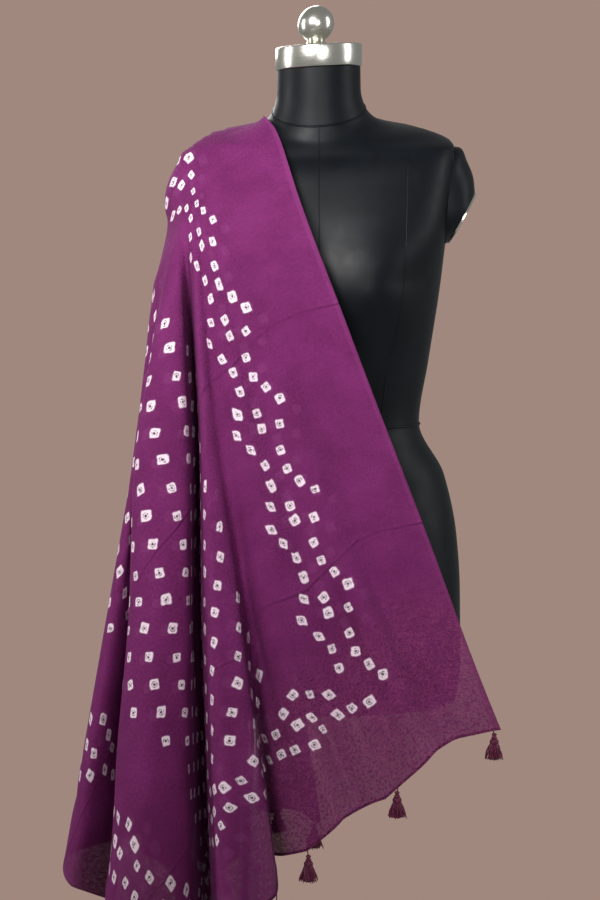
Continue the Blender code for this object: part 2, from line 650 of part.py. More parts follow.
def build_cloth(collection, finish):
    angles, mid, normal, across = cloth_walls()
    shoulder = int(np.argmin(np.abs(angles - 90)))
    half_cloth("stole_front", mid, normal, across, 0, shoulder, finish, collection)
    half_cloth("stole_back", mid, normal, across, shoulder, len(angles) - 1, finish, collection)


# ---- tassels ----------------------------------------------------------------
def tassel(name, hang, rng, finish, collection):
    """A knotted head with four-sided locks grown out of every other one of its lowest faces."""
    x, y, z = hang
    vertices, faces = [], []
    for drop, radius in HEAD_PROFILE:
        vertices += circle(radius, z - drop, HEAD_SIDES, x, y)
    n = HEAD_SIDES
    faces.append(tuple(range(n)))
    for k in range(len(HEAD_PROFILE) - 1):
        for i in range(n):
            j = (i + 1) % n
            faces.append((k * n + j, k * n + i, (k + 1) * n + i, (k + 1) * n + j))
    base = (len(HEAD_PROFILE) - 1) * n
    drop, radius = HEAD_PROFILE[-1]
    inner = len(vertices)
    vertices += circle(radius * HEAD_CORE, z - drop, n, x, y)
    faces.append(tuple(range(inner, inner + n))[::-1])
    for i in range(n):
        j = (i + 1) % n
        root = (base + i, inner + i, inner + j, base + j)
        if i % 2:
            faces.append(root)
            continue
        middle = sum((np.array(vertices[v]) for v in root), np.zeros(3)) / 4
        out = np.array((middle[0] - x, middle[1] - y, 0.0))
        out /= np.linalg.norm(out)
        length = LOCK_LENGTH * rng.uniform(*LOCK_CUT)
        last = root
        for share, flare, swell in LOCK_RINGS:
            centre = middle + out * LOCK_FLARE * flare + np.array((0, 0, -length * share))
            ring = []
            for v in root:
                p = np.array(vertices[v]) - middle
                vertices.append(tuple(centre + p * swell))
                ring.append(len(vertices) - 1)
            for a in range(4):
                b = (a + 1) % 4
                faces.append((last[a], last[b], ring[b], ring[a]))
            last = tuple(ring)
        faces.append(last)
    return add(name, vertices, [tuple(int(i) for i in f) for f in faces], finish, collection)


def build_tassels(collection, finish):
    rng = random.Random(SEED)
    for column, end in enumerate(("front", "back")):
        for k, row in enumerate(TASSEL_PLACES):
            place = row[column]
            u = WIDTH * place
            v = float(np.interp(place, rows(FRONT_DROP, 0), rows(FRONT_DROP, 1))) - column * LENGTH
            angle = math.degrees(math.atan2(u - APEX_U, v))
            angle = angle + 360 if angle < -90 else angle
            distance = math.hypot(u - APEX_U, v)
            p = cloth_points(np.array([angle]), np.array([[distance]]))[0, 0]
            hang = (p[0], p[1], p[2] - WALL - TASSEL_GAP)
            tassel(f"tassel_{end}_{k + 1}", hang, rng, finish, collection)


def main():
    for ob in list(bpy.data.objects):
        bpy.data.objects.remove(ob)
    collection = bpy.data.collections.new("dupatta_stole_on_dress_form")
    bpy.context.scene.collection.children.link(collection)
    black = material("form_black", (0.012, 0.013, 0.015), 0.32)
    metal = material("form_chrome", (0.62, 0.62, 0.62), 0.16, 1.0)
    steel = material("stand_chrome", (0.55, 0.55, 0.56), 0.22, 1.0)
    cloth = material("stole_plum", (0.105, 0.018, 0.078), 0.8)
    thread = material("tassel_thread", (0.055, 0.008, 0.035), 0.7)
    build_form(collection, black, metal)
    build_stand(collection, steel)
    build_cloth(collection, cloth)
    build_tassels(collection, thread)


main()
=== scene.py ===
"""A tie-dyed stole with tasselled ends, laid over the shoulder of a limbless dress form on a pole stand.

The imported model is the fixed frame. Its front faces -Y and the stole hangs from its right shoulder, at -X.
The cloth is one flat rectangle: u runs across it from the selvedge beside the neck, and s runs along it
from the front end. Its folds fan out from one point of the shoulder line, the apex.
"""

import logging
import math
from dataclasses import dataclass
from enum import Enum
from typing import NamedTuple, Optional, Sequence, Union

import bpy
import numpy as np
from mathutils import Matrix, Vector


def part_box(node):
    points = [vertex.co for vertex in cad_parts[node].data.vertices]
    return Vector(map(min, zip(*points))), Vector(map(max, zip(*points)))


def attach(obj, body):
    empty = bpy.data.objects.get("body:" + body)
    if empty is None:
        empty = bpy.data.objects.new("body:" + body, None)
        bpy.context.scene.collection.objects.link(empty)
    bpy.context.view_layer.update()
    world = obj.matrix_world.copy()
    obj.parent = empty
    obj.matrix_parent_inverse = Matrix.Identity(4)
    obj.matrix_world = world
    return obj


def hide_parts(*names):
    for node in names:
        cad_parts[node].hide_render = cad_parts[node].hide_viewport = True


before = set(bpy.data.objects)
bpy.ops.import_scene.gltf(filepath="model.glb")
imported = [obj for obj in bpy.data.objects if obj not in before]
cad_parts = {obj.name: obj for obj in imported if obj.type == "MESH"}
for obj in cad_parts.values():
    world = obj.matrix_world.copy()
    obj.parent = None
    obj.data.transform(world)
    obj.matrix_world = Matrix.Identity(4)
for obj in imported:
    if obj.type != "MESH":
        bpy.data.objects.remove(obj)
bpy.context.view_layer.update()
BODY = "root"
LOG = logging.getLogger("dressed_stole")

Array = np.ndarray
Number = Union[float, "Wire"]


class End(Enum):
    """The two short ends of the stole."""

    FRONT = "front"
    BACK = "back"


class Slot(Enum):
    """The record's material slots."""

    STOLE = "stole_cloth"
    TASSEL = "tassel_thread"
    COVER = "form_cover"
    FORM_METAL = "form_metal"
    STAND_METAL = "stand_metal"


# ---- numbers ----------------------------------------------------------------
def column(table: Sequence[tuple], name: str) -> Array:
    """One named column of a table of named tuples, as an array."""
    return np.array([getattr(row, name) for row in table], float)


def hermite(t: Array, gap: Array, k: Array, values: Array, slopes: Array) -> Array:
    """The cubic from point k to the next, at a share t of the way.

    Args:
        t: The share, from 0 to 1.
        gap: Distance between the two points.
        k: The number of the point before.
        values: The value at each point.
        slopes: The slope at each point.

    Returns:
        The value there.
    """
    before = (1 + 2 * t) * (1 - t) ** 2 * values[k] + t * (1 - t) ** 2 * gap * slopes[k]
    return before + t * t * (3 - 2 * t) * values[k + 1] + t * t * (t - 1) * gap * slopes[k + 1]


def monotone(xs: Array, ys: Array, x: Array) -> Array:
    """A cubic through the points that never overshoots them.

    The slope at a point is the weighted harmonic mean of the slopes beside it, and nought at a turning point.

    Args:
        xs: Rising positions of the points.
        ys: Their values.
        x: Where the cubic is wanted; beyond the ends the end values hold.

    Returns:
        The values, in the shape of x.
    """
    h = np.diff(xs)
    d = np.diff(ys) / h
    m = np.zeros_like(ys)
    same = d[:-1] * d[1:] > 0
    w1, w2 = 2 * h[1:] + h[:-1], h[1:] + 2 * h[:-1]
    before, after = np.where(same, d[:-1], 1.0), np.where(same, d[1:], 1.0)
    m[1:-1] = np.where(same, (w1 + w2) / (w1 / before + w2 / after), 0.0)
    m[0], m[-1] = d[0], d[-1]
    x = np.clip(x, xs[0], xs[-1])
    k = np.clip(np.searchsorted(xs, x, side="right") - 1, 0, len(h) - 1)
    return hermite((x - xs[k]) / h[k], h[k], k, ys, m)


def ease(x: Array, low: float, high: float) -> Array:
    """Rises smoothly from 0 at low to 1 at high, as 3t squared less 2t cubed."""
    t = np.clip((x - low) / (high - low), 0, 1)
    return t * t * (3 - 2 * t)


def unit(v: Array) -> Array:
    """The vectors scaled to length 1."""
    return v / np.maximum(np.linalg.norm(v, axis=-1, keepdims=True), 1e-9)


def circle(sides: int) -> tuple[Array, Array]:
    """Cosine and sine of evenly spaced turns, counter-clockwise."""
    turn = np.arange(sides) * 2 * math.pi / sides
    return np.cos(turn), np.sin(turn)


# ---- meshes -----------------------------------------------------------------
class Mesh:
    """Grids and caps gathered into one mesh."""

    def __init__(self) -> None:
        """Starts with no points and no faces."""
        self.points: list[Array] = []
        self.flat: list[Array] = []
        self.slants: list[Array] = []
        self.faces: list[Array] = []
        self.count = 0

    def add_points(self, points: Array, flat: Optional[Array] = None, slant: Optional[Array] = None) -> Array:
        """Adds points and returns their indexes, in the same grid.

        Args:
            points: Positions, any grid by 3.
            flat: Flat-cloth coordinates of the same points, grid by 2.
            slant: How steeply the same points lie on the side of a crease, from 0 to 1.

        Returns:
            The index of each point.
        """
        grid = points.shape[:-1]
        size = int(np.prod(grid))
        self.points.append(points.reshape(-1, 3))
        self.flat.append(np.zeros((size, 2)) if flat is None else flat.reshape(-1, 2))
        self.slants.append(np.zeros(size) if slant is None else slant.reshape(-1))
        index = np.arange(self.count, self.count + size).reshape(grid)
        self.count += size
        return index

    def join(self, index: Array, around: bool = False, turned: bool = False) -> None:
        """Joins a grid of indexes with quads.

        Args:
            index: Grid of indexes, rows by columns; a face looks to row direction x column direction.
            around: Whether the last column meets the first.
            turned: Whether the faces look the other way.
        """
        if around:
            index = np.concatenate([index, index[:, :1]], axis=1)
        quads = np.stack([index[:-1, :-1], index[1:, :-1], index[1:, 1:], index[:-1, 1:]], -1).reshape(-1, 4)
        self.faces.append(quads[:, ::-1] if turned else quads)

    def cap(self, ring: Array, turned: bool = False) -> None:
        """Closes rings, each with one face.

        Args:
            ring: Indexes round one ring, or rings by sides.
            turned: Whether the faces look the other way.
        """
        rings = np.atleast_2d(ring)
        self.faces.append(rings[:, ::-1] if turned else rings)

    def loft(self, rings: Array) -> "Mesh":
        """Adds a tube through rings, lowest first, each counter-clockwise from above, with both ends capped.

        Args:
            rings: Rings by sides by 3.

        Returns:
            This mesh.
        """
        index = self.add_points(rings)
        self.join(index, around=True, turned=True)
        self.cap(index[0], turned=True)
        self.cap(index[-1])
        return self

    def build(
        self, name: str, material: bpy.types.Material, slot: Slot, sharp: float = 40.0
    ) -> bpy.types.Object:
        """Makes the object, at the origin, and lets it ride on the body.

        Args:
            name: The piece's name.
            material: Its finish.
            slot: Not used.
            sharp: Degrees past which an edge isn't shaded smooth.

        Returns:
            The piece.
        """
        points, flat = np.concatenate(self.points), np.concatenate(self.flat)
        corners = np.concatenate([f.reshape(-1) for f in self.faces]).astype(np.int32)
        sides = np.concatenate([np.full(len(f), f.shape[1]) for f in self.faces])
        starts = np.concatenate([[0], np.cumsum(sides)[:-1]]).astype(np.int32)
        mesh = bpy.data.meshes.new(name)
        mesh.vertices.add(len(points))
        mesh.vertices.foreach_set("co", points.astype(np.float32).ravel())
        mesh.loops.add(len(corners))
        mesh.loops.foreach_set("vertex_index", corners)
        mesh.polygons.add(len(sides))
        mesh.polygons.foreach_set("loop_start", starts)
        mesh.polygons.foreach_set("use_smooth", np.ones(len(sides), bool))
        layer = mesh.uv_layers.new(name="flat")
        layer.data.foreach_set("uv", flat[corners].astype(np.float32).ravel())
        slant = np.concatenate(self.slants)
        if slant.any():
            steep = mesh.attributes.new("slant", "FLOAT", "POINT")
            steep.data.foreach_set("value", slant.astype(np.float32))
        mesh.update(calc_edges=True)
        mesh.validate()
        mesh.set_sharp_from_angle(angle=math.radians(sharp))
        mesh.materials.append(material)
        piece = bpy.data.objects.new(name, mesh)
        bpy.context.scene.collection.objects.link(piece)
        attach(piece, BODY)
        LOG.info("%s: %d faces", name, len(sides))
        return piece


def lathe(profile: Sequence[tuple[float, float]], sides: int, lean: float = 0.0, shift: float = 0.0) -> Array:
    """Rings of a turned piece: at each level a circle of that radius, raised by lean times x.

    Args:
        profile: Level and radius of each ring, lowest first.
        sides: Points of a ring.
        lean: Rise towards +X, per metre.
        shift: Distance of the axis from the middle, towards +X.

    Returns:
        Rings by sides by 3.
    """
    level, radius = np.array(profile).T
    cos, sin = circle(sides)
    x, y = radius[:, None] * cos, radius[:, None] * sin
    return np.stack([x + shift, y, level[:, None] + lean * x], -1)


def tube(path: Array, radius: Array, sides: int, outward: Array) -> Array:
    """Rings of a tube along a path: the path plus radius times (cosine x across + sine x outward).

    Args:
        path: Points by 3.
        radius: Radius at each point.
        sides: Points of a ring.
        outward: A direction at each point, not along the path.

    Returns:
        Rings by sides by 3.
    """
    ahead = unit(np.gradient(path, axis=-2))
    out = unit(outward - (outward * ahead).sum(-1, keepdims=True) * ahead)
    across = np.cross(ahead, out)
    cos, sin = circle(sides)
    spread = cos[:, None] * across[..., None, :] + sin[:, None] * out[..., None, :]
    return path[..., None, :] + np.asarray(radius)[..., None, None] * spread


# ---- shader nodes -----------------------------------------------------------
class Wire:
    """One output of a shader node, so that a sum of outputs is written as a sum."""

    def __init__(self, board: "Board", socket: bpy.types.NodeSocket) -> None:
        """Holds the board that the node is on, and the socket."""
        self.board = board
        self.socket = socket

    def math(self, operation: str, *others: Number) -> "Wire":
        """This value and others through a Math node."""
        return self.board.math(operation, self, *others)

    def __add__(self, other: Number) -> "Wire":
        """Sum."""
        return self.math("ADD", other)

    def __sub__(self, other: Number) -> "Wire":
        """Difference."""
        return self.math("SUBTRACT", other)

    def __rsub__(self, other: float) -> "Wire":
        """Difference from a number."""
        return self.board.math("SUBTRACT", other, self)

    def __mul__(self, other: Number) -> "Wire":
        """Product."""
        return self.math("MULTIPLY", other)

    def __truediv__(self, other: Number) -> "Wire":
        """Quotient."""
        return self.math("DIVIDE", other)

    __radd__ = __add__
    __rmul__ = __mul__

    def step(self, low: float, high: float) -> "Wire":
        """Rises smoothly from 0 at low to 1 at high; falls where low is above high.

        Args:
            low: Where it gives 0.
            high: Where it gives 1.

        Returns:
            The share between them.
        """
        rising = low < high
        sizes = {"Value": self, "From Min": min(low, high), "From Max": max(low, high)}
        sizes.update({"To Min": 0.0 if rising else 1.0, "To Max": 1.0 if rising else 0.0})
        return self.board.wire("ShaderNodeMapRange", 0, sizes, interpolation_type="SMOOTHSTEP")


class Board:
    """A node tree with short ways to add nodes."""

    def __init__(self, tree: bpy.types.NodeTree) -> None:
        """Takes over the tree and empties it."""
        self.tree = tree
        tree.nodes.clear()

    def add(self, kind: str, inputs: Optional[dict] = None, **settings: object) -> bpy.types.Node:
        """Adds a node, sets it and feeds its inputs.

        Args:
            kind: The node's type.
            inputs: Input name or number to a value or a Wire.
            settings: The node's own properties.

        Returns:
            The node.
        """
        node = self.tree.nodes.new(kind)
        for key, value in settings.items():
            setattr(node, key, value)
        for key, value in (inputs or {}).items():
            if isinstance(value, Wire):
                self.tree.links.new(value.socket, node.inputs[key])
            else:
                node.inputs[key].default_value = value
        return node

    def wire(
        self, kind: str, output: Union[str, int] = 0, inputs: Optional[dict] = None, **settings: object
    ) -> Wire:
        """Adds a node and returns one of its outputs."""
        return Wire(self, self.add(kind, inputs, **settings).outputs[output])

    def math(self, operation: str, *values: Number) -> Wire:
        """A Math node on the values."""
        return self.wire("ShaderNodeMath", 0, dict(enumerate(values)), operation=operation)

    def largest(self, first: Wire, *others: Number) -> Wire:
        """The largest of several values.

        Args:
            first: One value.
            others: The others.

        Returns:
            The largest.
        """
        for other in others:
            first = self.math("MAXIMUM", first, other)
        return first

    def vector(self, x: Number, y: Number, z: Number = 0.0) -> Wire:
        """Three numbers as a vector."""
        return self.wire("ShaderNodeCombineXYZ", 0, {0: x, 1: y, 2: z})

    def parts(self, vector: Wire) -> tuple[Wire, Wire, Wire]:
        """A vector's three numbers."""
        node = self.add("ShaderNodeSeparateXYZ", {0: vector})
        return Wire(self, node.outputs[0]), Wire(self, node.outputs[1]), Wire(self, node.outputs[2])

    def noise(self, vector: Wire, scale: float, detail: float = 2.0, roughness: float = 0.5) -> Wire:
        """Soft noise from 0 to 1 at a number of lumps per metre."""
        sizes = {"Vector": vector, "Scale": scale, "Detail": detail, "Roughness": roughness}
        return self.wire("ShaderNodeTexNoise", 0, sizes)

    def scaled(self, vector: Wire, by: tuple[float, float, float]) -> Wire:
        """A vector stretched along its three axes."""
        return self.wire("ShaderNodeVectorMath", 0, {0: vector, 1: by}, operation="MULTIPLY")

    def colour(self, share: Number, first: object, second: object) -> Wire:
        """A mix of two colours: the first at share 0, the second at share 1."""
        return self.wire("ShaderNodeMix", 2, {0: share, 6: first, 7: second}, data_type="RGBA")

    def through(self, group: bpy.types.NodeTree, *inputs: Number) -> tuple[Wire, Wire]:
        """Feeds a node group in order, and gives its outputs White and Speck."""
        node = self.add("ShaderNodeGroup", dict(enumerate(inputs)), node_tree=group)
        return Wire(self, node.outputs[0]), Wire(self, node.outputs[1])

    def bump(
        self, height: Wire, distance: float, strength: float = 1.0, normal: Optional[Wire] = None
    ) -> Wire:
        """A normal tipped by a height.

        Args:
            height: The height, from about 0 to 1.
            distance: What height 1 stands for, in metres.
            strength: Share of the tip that counts.
            normal: The normal that is tipped; the face's own where none is given.

        Returns:
            The tipped normal.
        """
        sizes = {"Height": height, "Distance": distance, "Strength": strength}
        if normal is not None:
            sizes["Normal"] = normal
        return self.wire("ShaderNodeBump", 0, sizes)


def rgba(red: float, green: float, blue: float) -> tuple[float, float, float, float]:
    """A display colour as linear light: below 0.04045 a twelfth of it, above that a power of 2.4.

    Args:
        red: Red, from 0 to 255.
        green: Green, from 0 to 255.
        blue: Blue, from 0 to 255.

    Returns:
        Red, green, blue and an opacity of 1.
    """
    share = np.array([red, green, blue]) / 255
    linear = np.where(share <= 0.04045, share / 12.92, ((share + 0.055) / 1.055) ** 2.4)
    return (float(linear[0]), float(linear[1]), float(linear[2]), 1.0)


def new_group(name: str, **inputs: str) -> tuple[Board, list[Wire]]:
    """A new node group with the outputs White and Speck.

    Args:
        name: The group's name.
        inputs: Name of each input to its kind, Float or Vector.

    Returns:
        The board for its nodes, and a wire from each input.
    """
    tree = bpy.data.node_groups.new(name, "ShaderNodeTree")
    board = Board(tree)
    for title, kind in inputs.items():
        tree.interface.new_socket(title, in_out="INPUT", socket_type=f"NodeSocket{kind}")
    for title in ("White", "Speck"):
        tree.interface.new_socket(title, in_out="OUTPUT", socket_type="NodeSocketFloat")
    source = board.add("NodeGroupInput")
    return board, [Wire(board, source.outputs[k]) for k in range(len(inputs))]


class Finish:
    """What the finishes share: a material with one Principled shader, fed by the finish's own nodes."""

    name: str

    def inputs(self, board: Board) -> dict:
        """Adds the finish's nodes to the board and gives the shader's inputs; each finish has its own."""
        raise NotImplementedError

    def material(self) -> bpy.types.Material:
        """The finish as a material.

        Returns:
            The material.
        """
        material = bpy.data.materials.new(self.name)
        material.use_nodes = True
        board = Board(material.node_tree)
        shader = board.wire("ShaderNodeBsdfPrincipled", 0, self.inputs(board))
        board.add("ShaderNodeOutputMaterial", {"Surface": shader})
        return material


@dataclass(frozen=True)
class FormCover(Finish):
    """Smooth black cover of the form: a satin skin with a fine grain and faint soft unevenness."""

    name: str = "form_cover_black"
    colour: tuple = rgba(8, 12, 17)
    worn: tuple = rgba(12, 18, 24)
    worn_from: tuple = (0.45, 0.75)
    least_roughness: float = 0.38
    roughness_range: float = 0.16
    smears: float = 60.0
    grains: float = 900.0
    grain_height: float = 0.00010
    swells: float = 14.0
    swell_height: float = 0.0012
    shine: float = 0.20

    def inputs(self, board: Board) -> dict:
        """The finish's nodes.

        Args:
            board: Where they are added.

        Returns:
            The shader's inputs.
        """
        place = board.wire("ShaderNodeTexCoord", "Object")
        swell = board.noise(place, self.swells, 4.0, 0.6)
        grain = board.noise(place, self.grains, 2.0)
        normal = board.bump(grain, self.grain_height, 0.35)
        normal = board.bump(swell, self.swell_height, 0.5, normal)
        return {
            "Base Color": board.colour(swell.step(*self.worn_from), self.colour, self.worn),
            "Roughness": board.noise(place, self.smears) * self.roughness_range + self.least_roughness,
            "Normal": normal,
            "Specular IOR Level": self.shine,
        }


@dataclass(frozen=True)
class Chrome(Finish):
    """Bright plated metal with fine wiping marks."""

    name: str
    colour: tuple = rgba(226, 224, 214)
    least_roughness: float = 0.19
    roughness_range: float = 0.10
    marks: float = 70.0
    mark_squash: tuple = (1.0, 1.0, 12.0)
    mark_height: float = 0.0002

    def inputs(self, board: Board) -> dict:
        """The finish's nodes.

        Args:
            board: Where they are added.

        Returns:
            The shader's inputs.
        """
        place = board.wire("ShaderNodeTexCoord", "Object")
        wiped = board.noise(board.scaled(place, self.mark_squash), self.marks, 3.0)
        return {
            "Base Color": self.colour,
            "Metallic": 1.0,
            "Roughness": wiped * self.roughness_range + self.least_roughness,
            "Normal": board.bump(wiped, self.mark_height, 0.15),
        }


@dataclass(frozen=True)
class Thread(Finish):
    """Soft twisted thread of the tassels."""

    name: str = "tassel_thread_plum"
    dark: tuple = rgba(60, 4, 32)
    light: tuple = rgba(128, 18, 74)
    light_from: tuple = (0.35, 0.70)
    fibres: float = 1400.0
    fibre_stretch: tuple = (1.0, 1.0, 0.12)
    fibre_height: float = 0.0004
    roughness: float = 0.62
    sheen: float = 0.06

    def inputs(self, board: Board) -> dict:
        """The finish's nodes.

        Args:
            board: Where they are added.

        Returns:
            The shader's inputs.
        """
        place = board.wire("ShaderNodeTexCoord", "Object")
        fibre = board.noise(board.scaled(place, self.fibre_stretch), self.fibres, 2.0)
        return {
            "Base Color": board.colour(fibre.step(*self.light_from), self.dark, self.light),
            "Roughness": self.roughness,
            "Normal": board.bump(fibre, self.fibre_height, 0.6),
            "Sheen Weight": self.sheen,
        }


@dataclass(frozen=True)
class FloorPaint(Finish):
    """Plain pale floor with a faint unevenness."""

    name: str = "pale_floor"
    colour: tuple = rgba(238, 234, 229)

    def inputs(self, board: Board) -> dict:
        """The finish's nodes.

        Args:
            board: Where they are added.

        Returns:
            The shader's inputs.
        """
        place = board.wire("ShaderNodeTexCoord", "Object")
        return {"Base Color": self.colour, "Roughness": board.noise(place, 3.0) * 0.1 + 0.6}


@dataclass(frozen=True)
class Cut:
    """The flat cloth that the sheet and its chart follow: one rectangle with turned hems."""

    width: float = 1.000
    length: float = 1.880
    side_hem: float = 0.007
    end_hem: float = 0.0038


@dataclass(frozen=True)
class Dot:
    """One undyed dot: a soft square with a dark speck where the thread was tied, in a broken loop of dye.

    Its shift, turn, squash, wobble and size differ by the chance numbers of its cell. Scales are lumps to the
    metre, and the loop's radius is counted in specks.
    """

    size: float = 0.0066
    least_share: float = 0.86
    share_range: float = 0.24
    squareness: float = 5.0
    edge: tuple = (-0.0007, 0.0009)
    shift: float = 0.0020
    turn: float = 0.55
    squash: float = 0.30
    wobble: float = 0.0030
    wobble_scale: float = 160.0
    speck: float = 0.0016
    speck_aside: float = 0.0004
    speck_squash: float = 0.7
    speck_edge: float = 0.0004
    rough: float = 0.0034
    rough_scale: float = 520.0
    loop_radius: float = 2.0
    loop_edge: tuple = (0.0009, 0.0002)
    loop_gaps: tuple = (0.42, 0.54)
    loop_scale: float = 260.0
    loop_share: float = 0.85

    def group(self) -> bpy.types.NodeTree:
        """A group that draws one dot, from a point's place in its cell and the cell's number.

        It is white where the distance from its middle, with squareness as the power in place of 2, is below
        its size.

        Returns:
            The group, with the outputs White and Speck.
        """
        board, (x, y, cell, tilt) = new_group("one_dot", X="Float", Y="Float", Cell="Vector", Turn="Float")
        chance = board.wire("ShaderNodeTexWhiteNoise", "Color", {"Vector": cell}, noise_dimensions="3D")
        a, b, c = board.parts(chance)
        x = x + (a - 0.5) * (2 * self.shift)
        y = y + (b - 0.5) * (2 * self.shift)
        turn = (c - 0.5) * self.turn + tilt
        cos, sin = board.math("COSINE", turn), board.math("SINE", turn)
        across, along = x * cos + y * sin, y * cos - x * sin
        wobble = board.noise(board.vector(x, y, a * 9.0), self.wobble_scale, 1.0) - 0.5
        squash = 1.0 + (b - 0.5) * self.squash
        p = board.math("POWER", board.math("ABSOLUTE", across * squash), self.squareness)
        q = board.math("POWER", board.math("ABSOLUTE", along), self.squareness)
        reach = board.math("POWER", p + q, 1 / self.squareness) + wobble * self.wobble
        size = self.size * (self.least_share + a * self.share_range)
        white = (size - reach).step(*self.edge)
        rough = board.noise(board.vector(x, y, b * 9.0), self.rough_scale, 2.0, 0.6) - 0.5
        aside = x - self.speck_aside
        middle = board.math("SQRT", aside * aside + y * y * self.speck_squash) + rough * self.rough
        knot = middle.step(self.speck + self.speck_edge, self.speck - self.speck_edge)
        loop = board.math("ABSOLUTE", middle - self.speck * self.loop_radius).step(*self.loop_edge)
        breaks = board.noise(board.vector(x, y, c * 7.0), self.loop_scale, 1.0)
        speck = board.math("MAXIMUM", knot, loop * breaks.step(*self.loop_gaps) * self.loop_share)
        board.add("NodeGroupOutput", {0: white, 1: speck})
        return board.tree


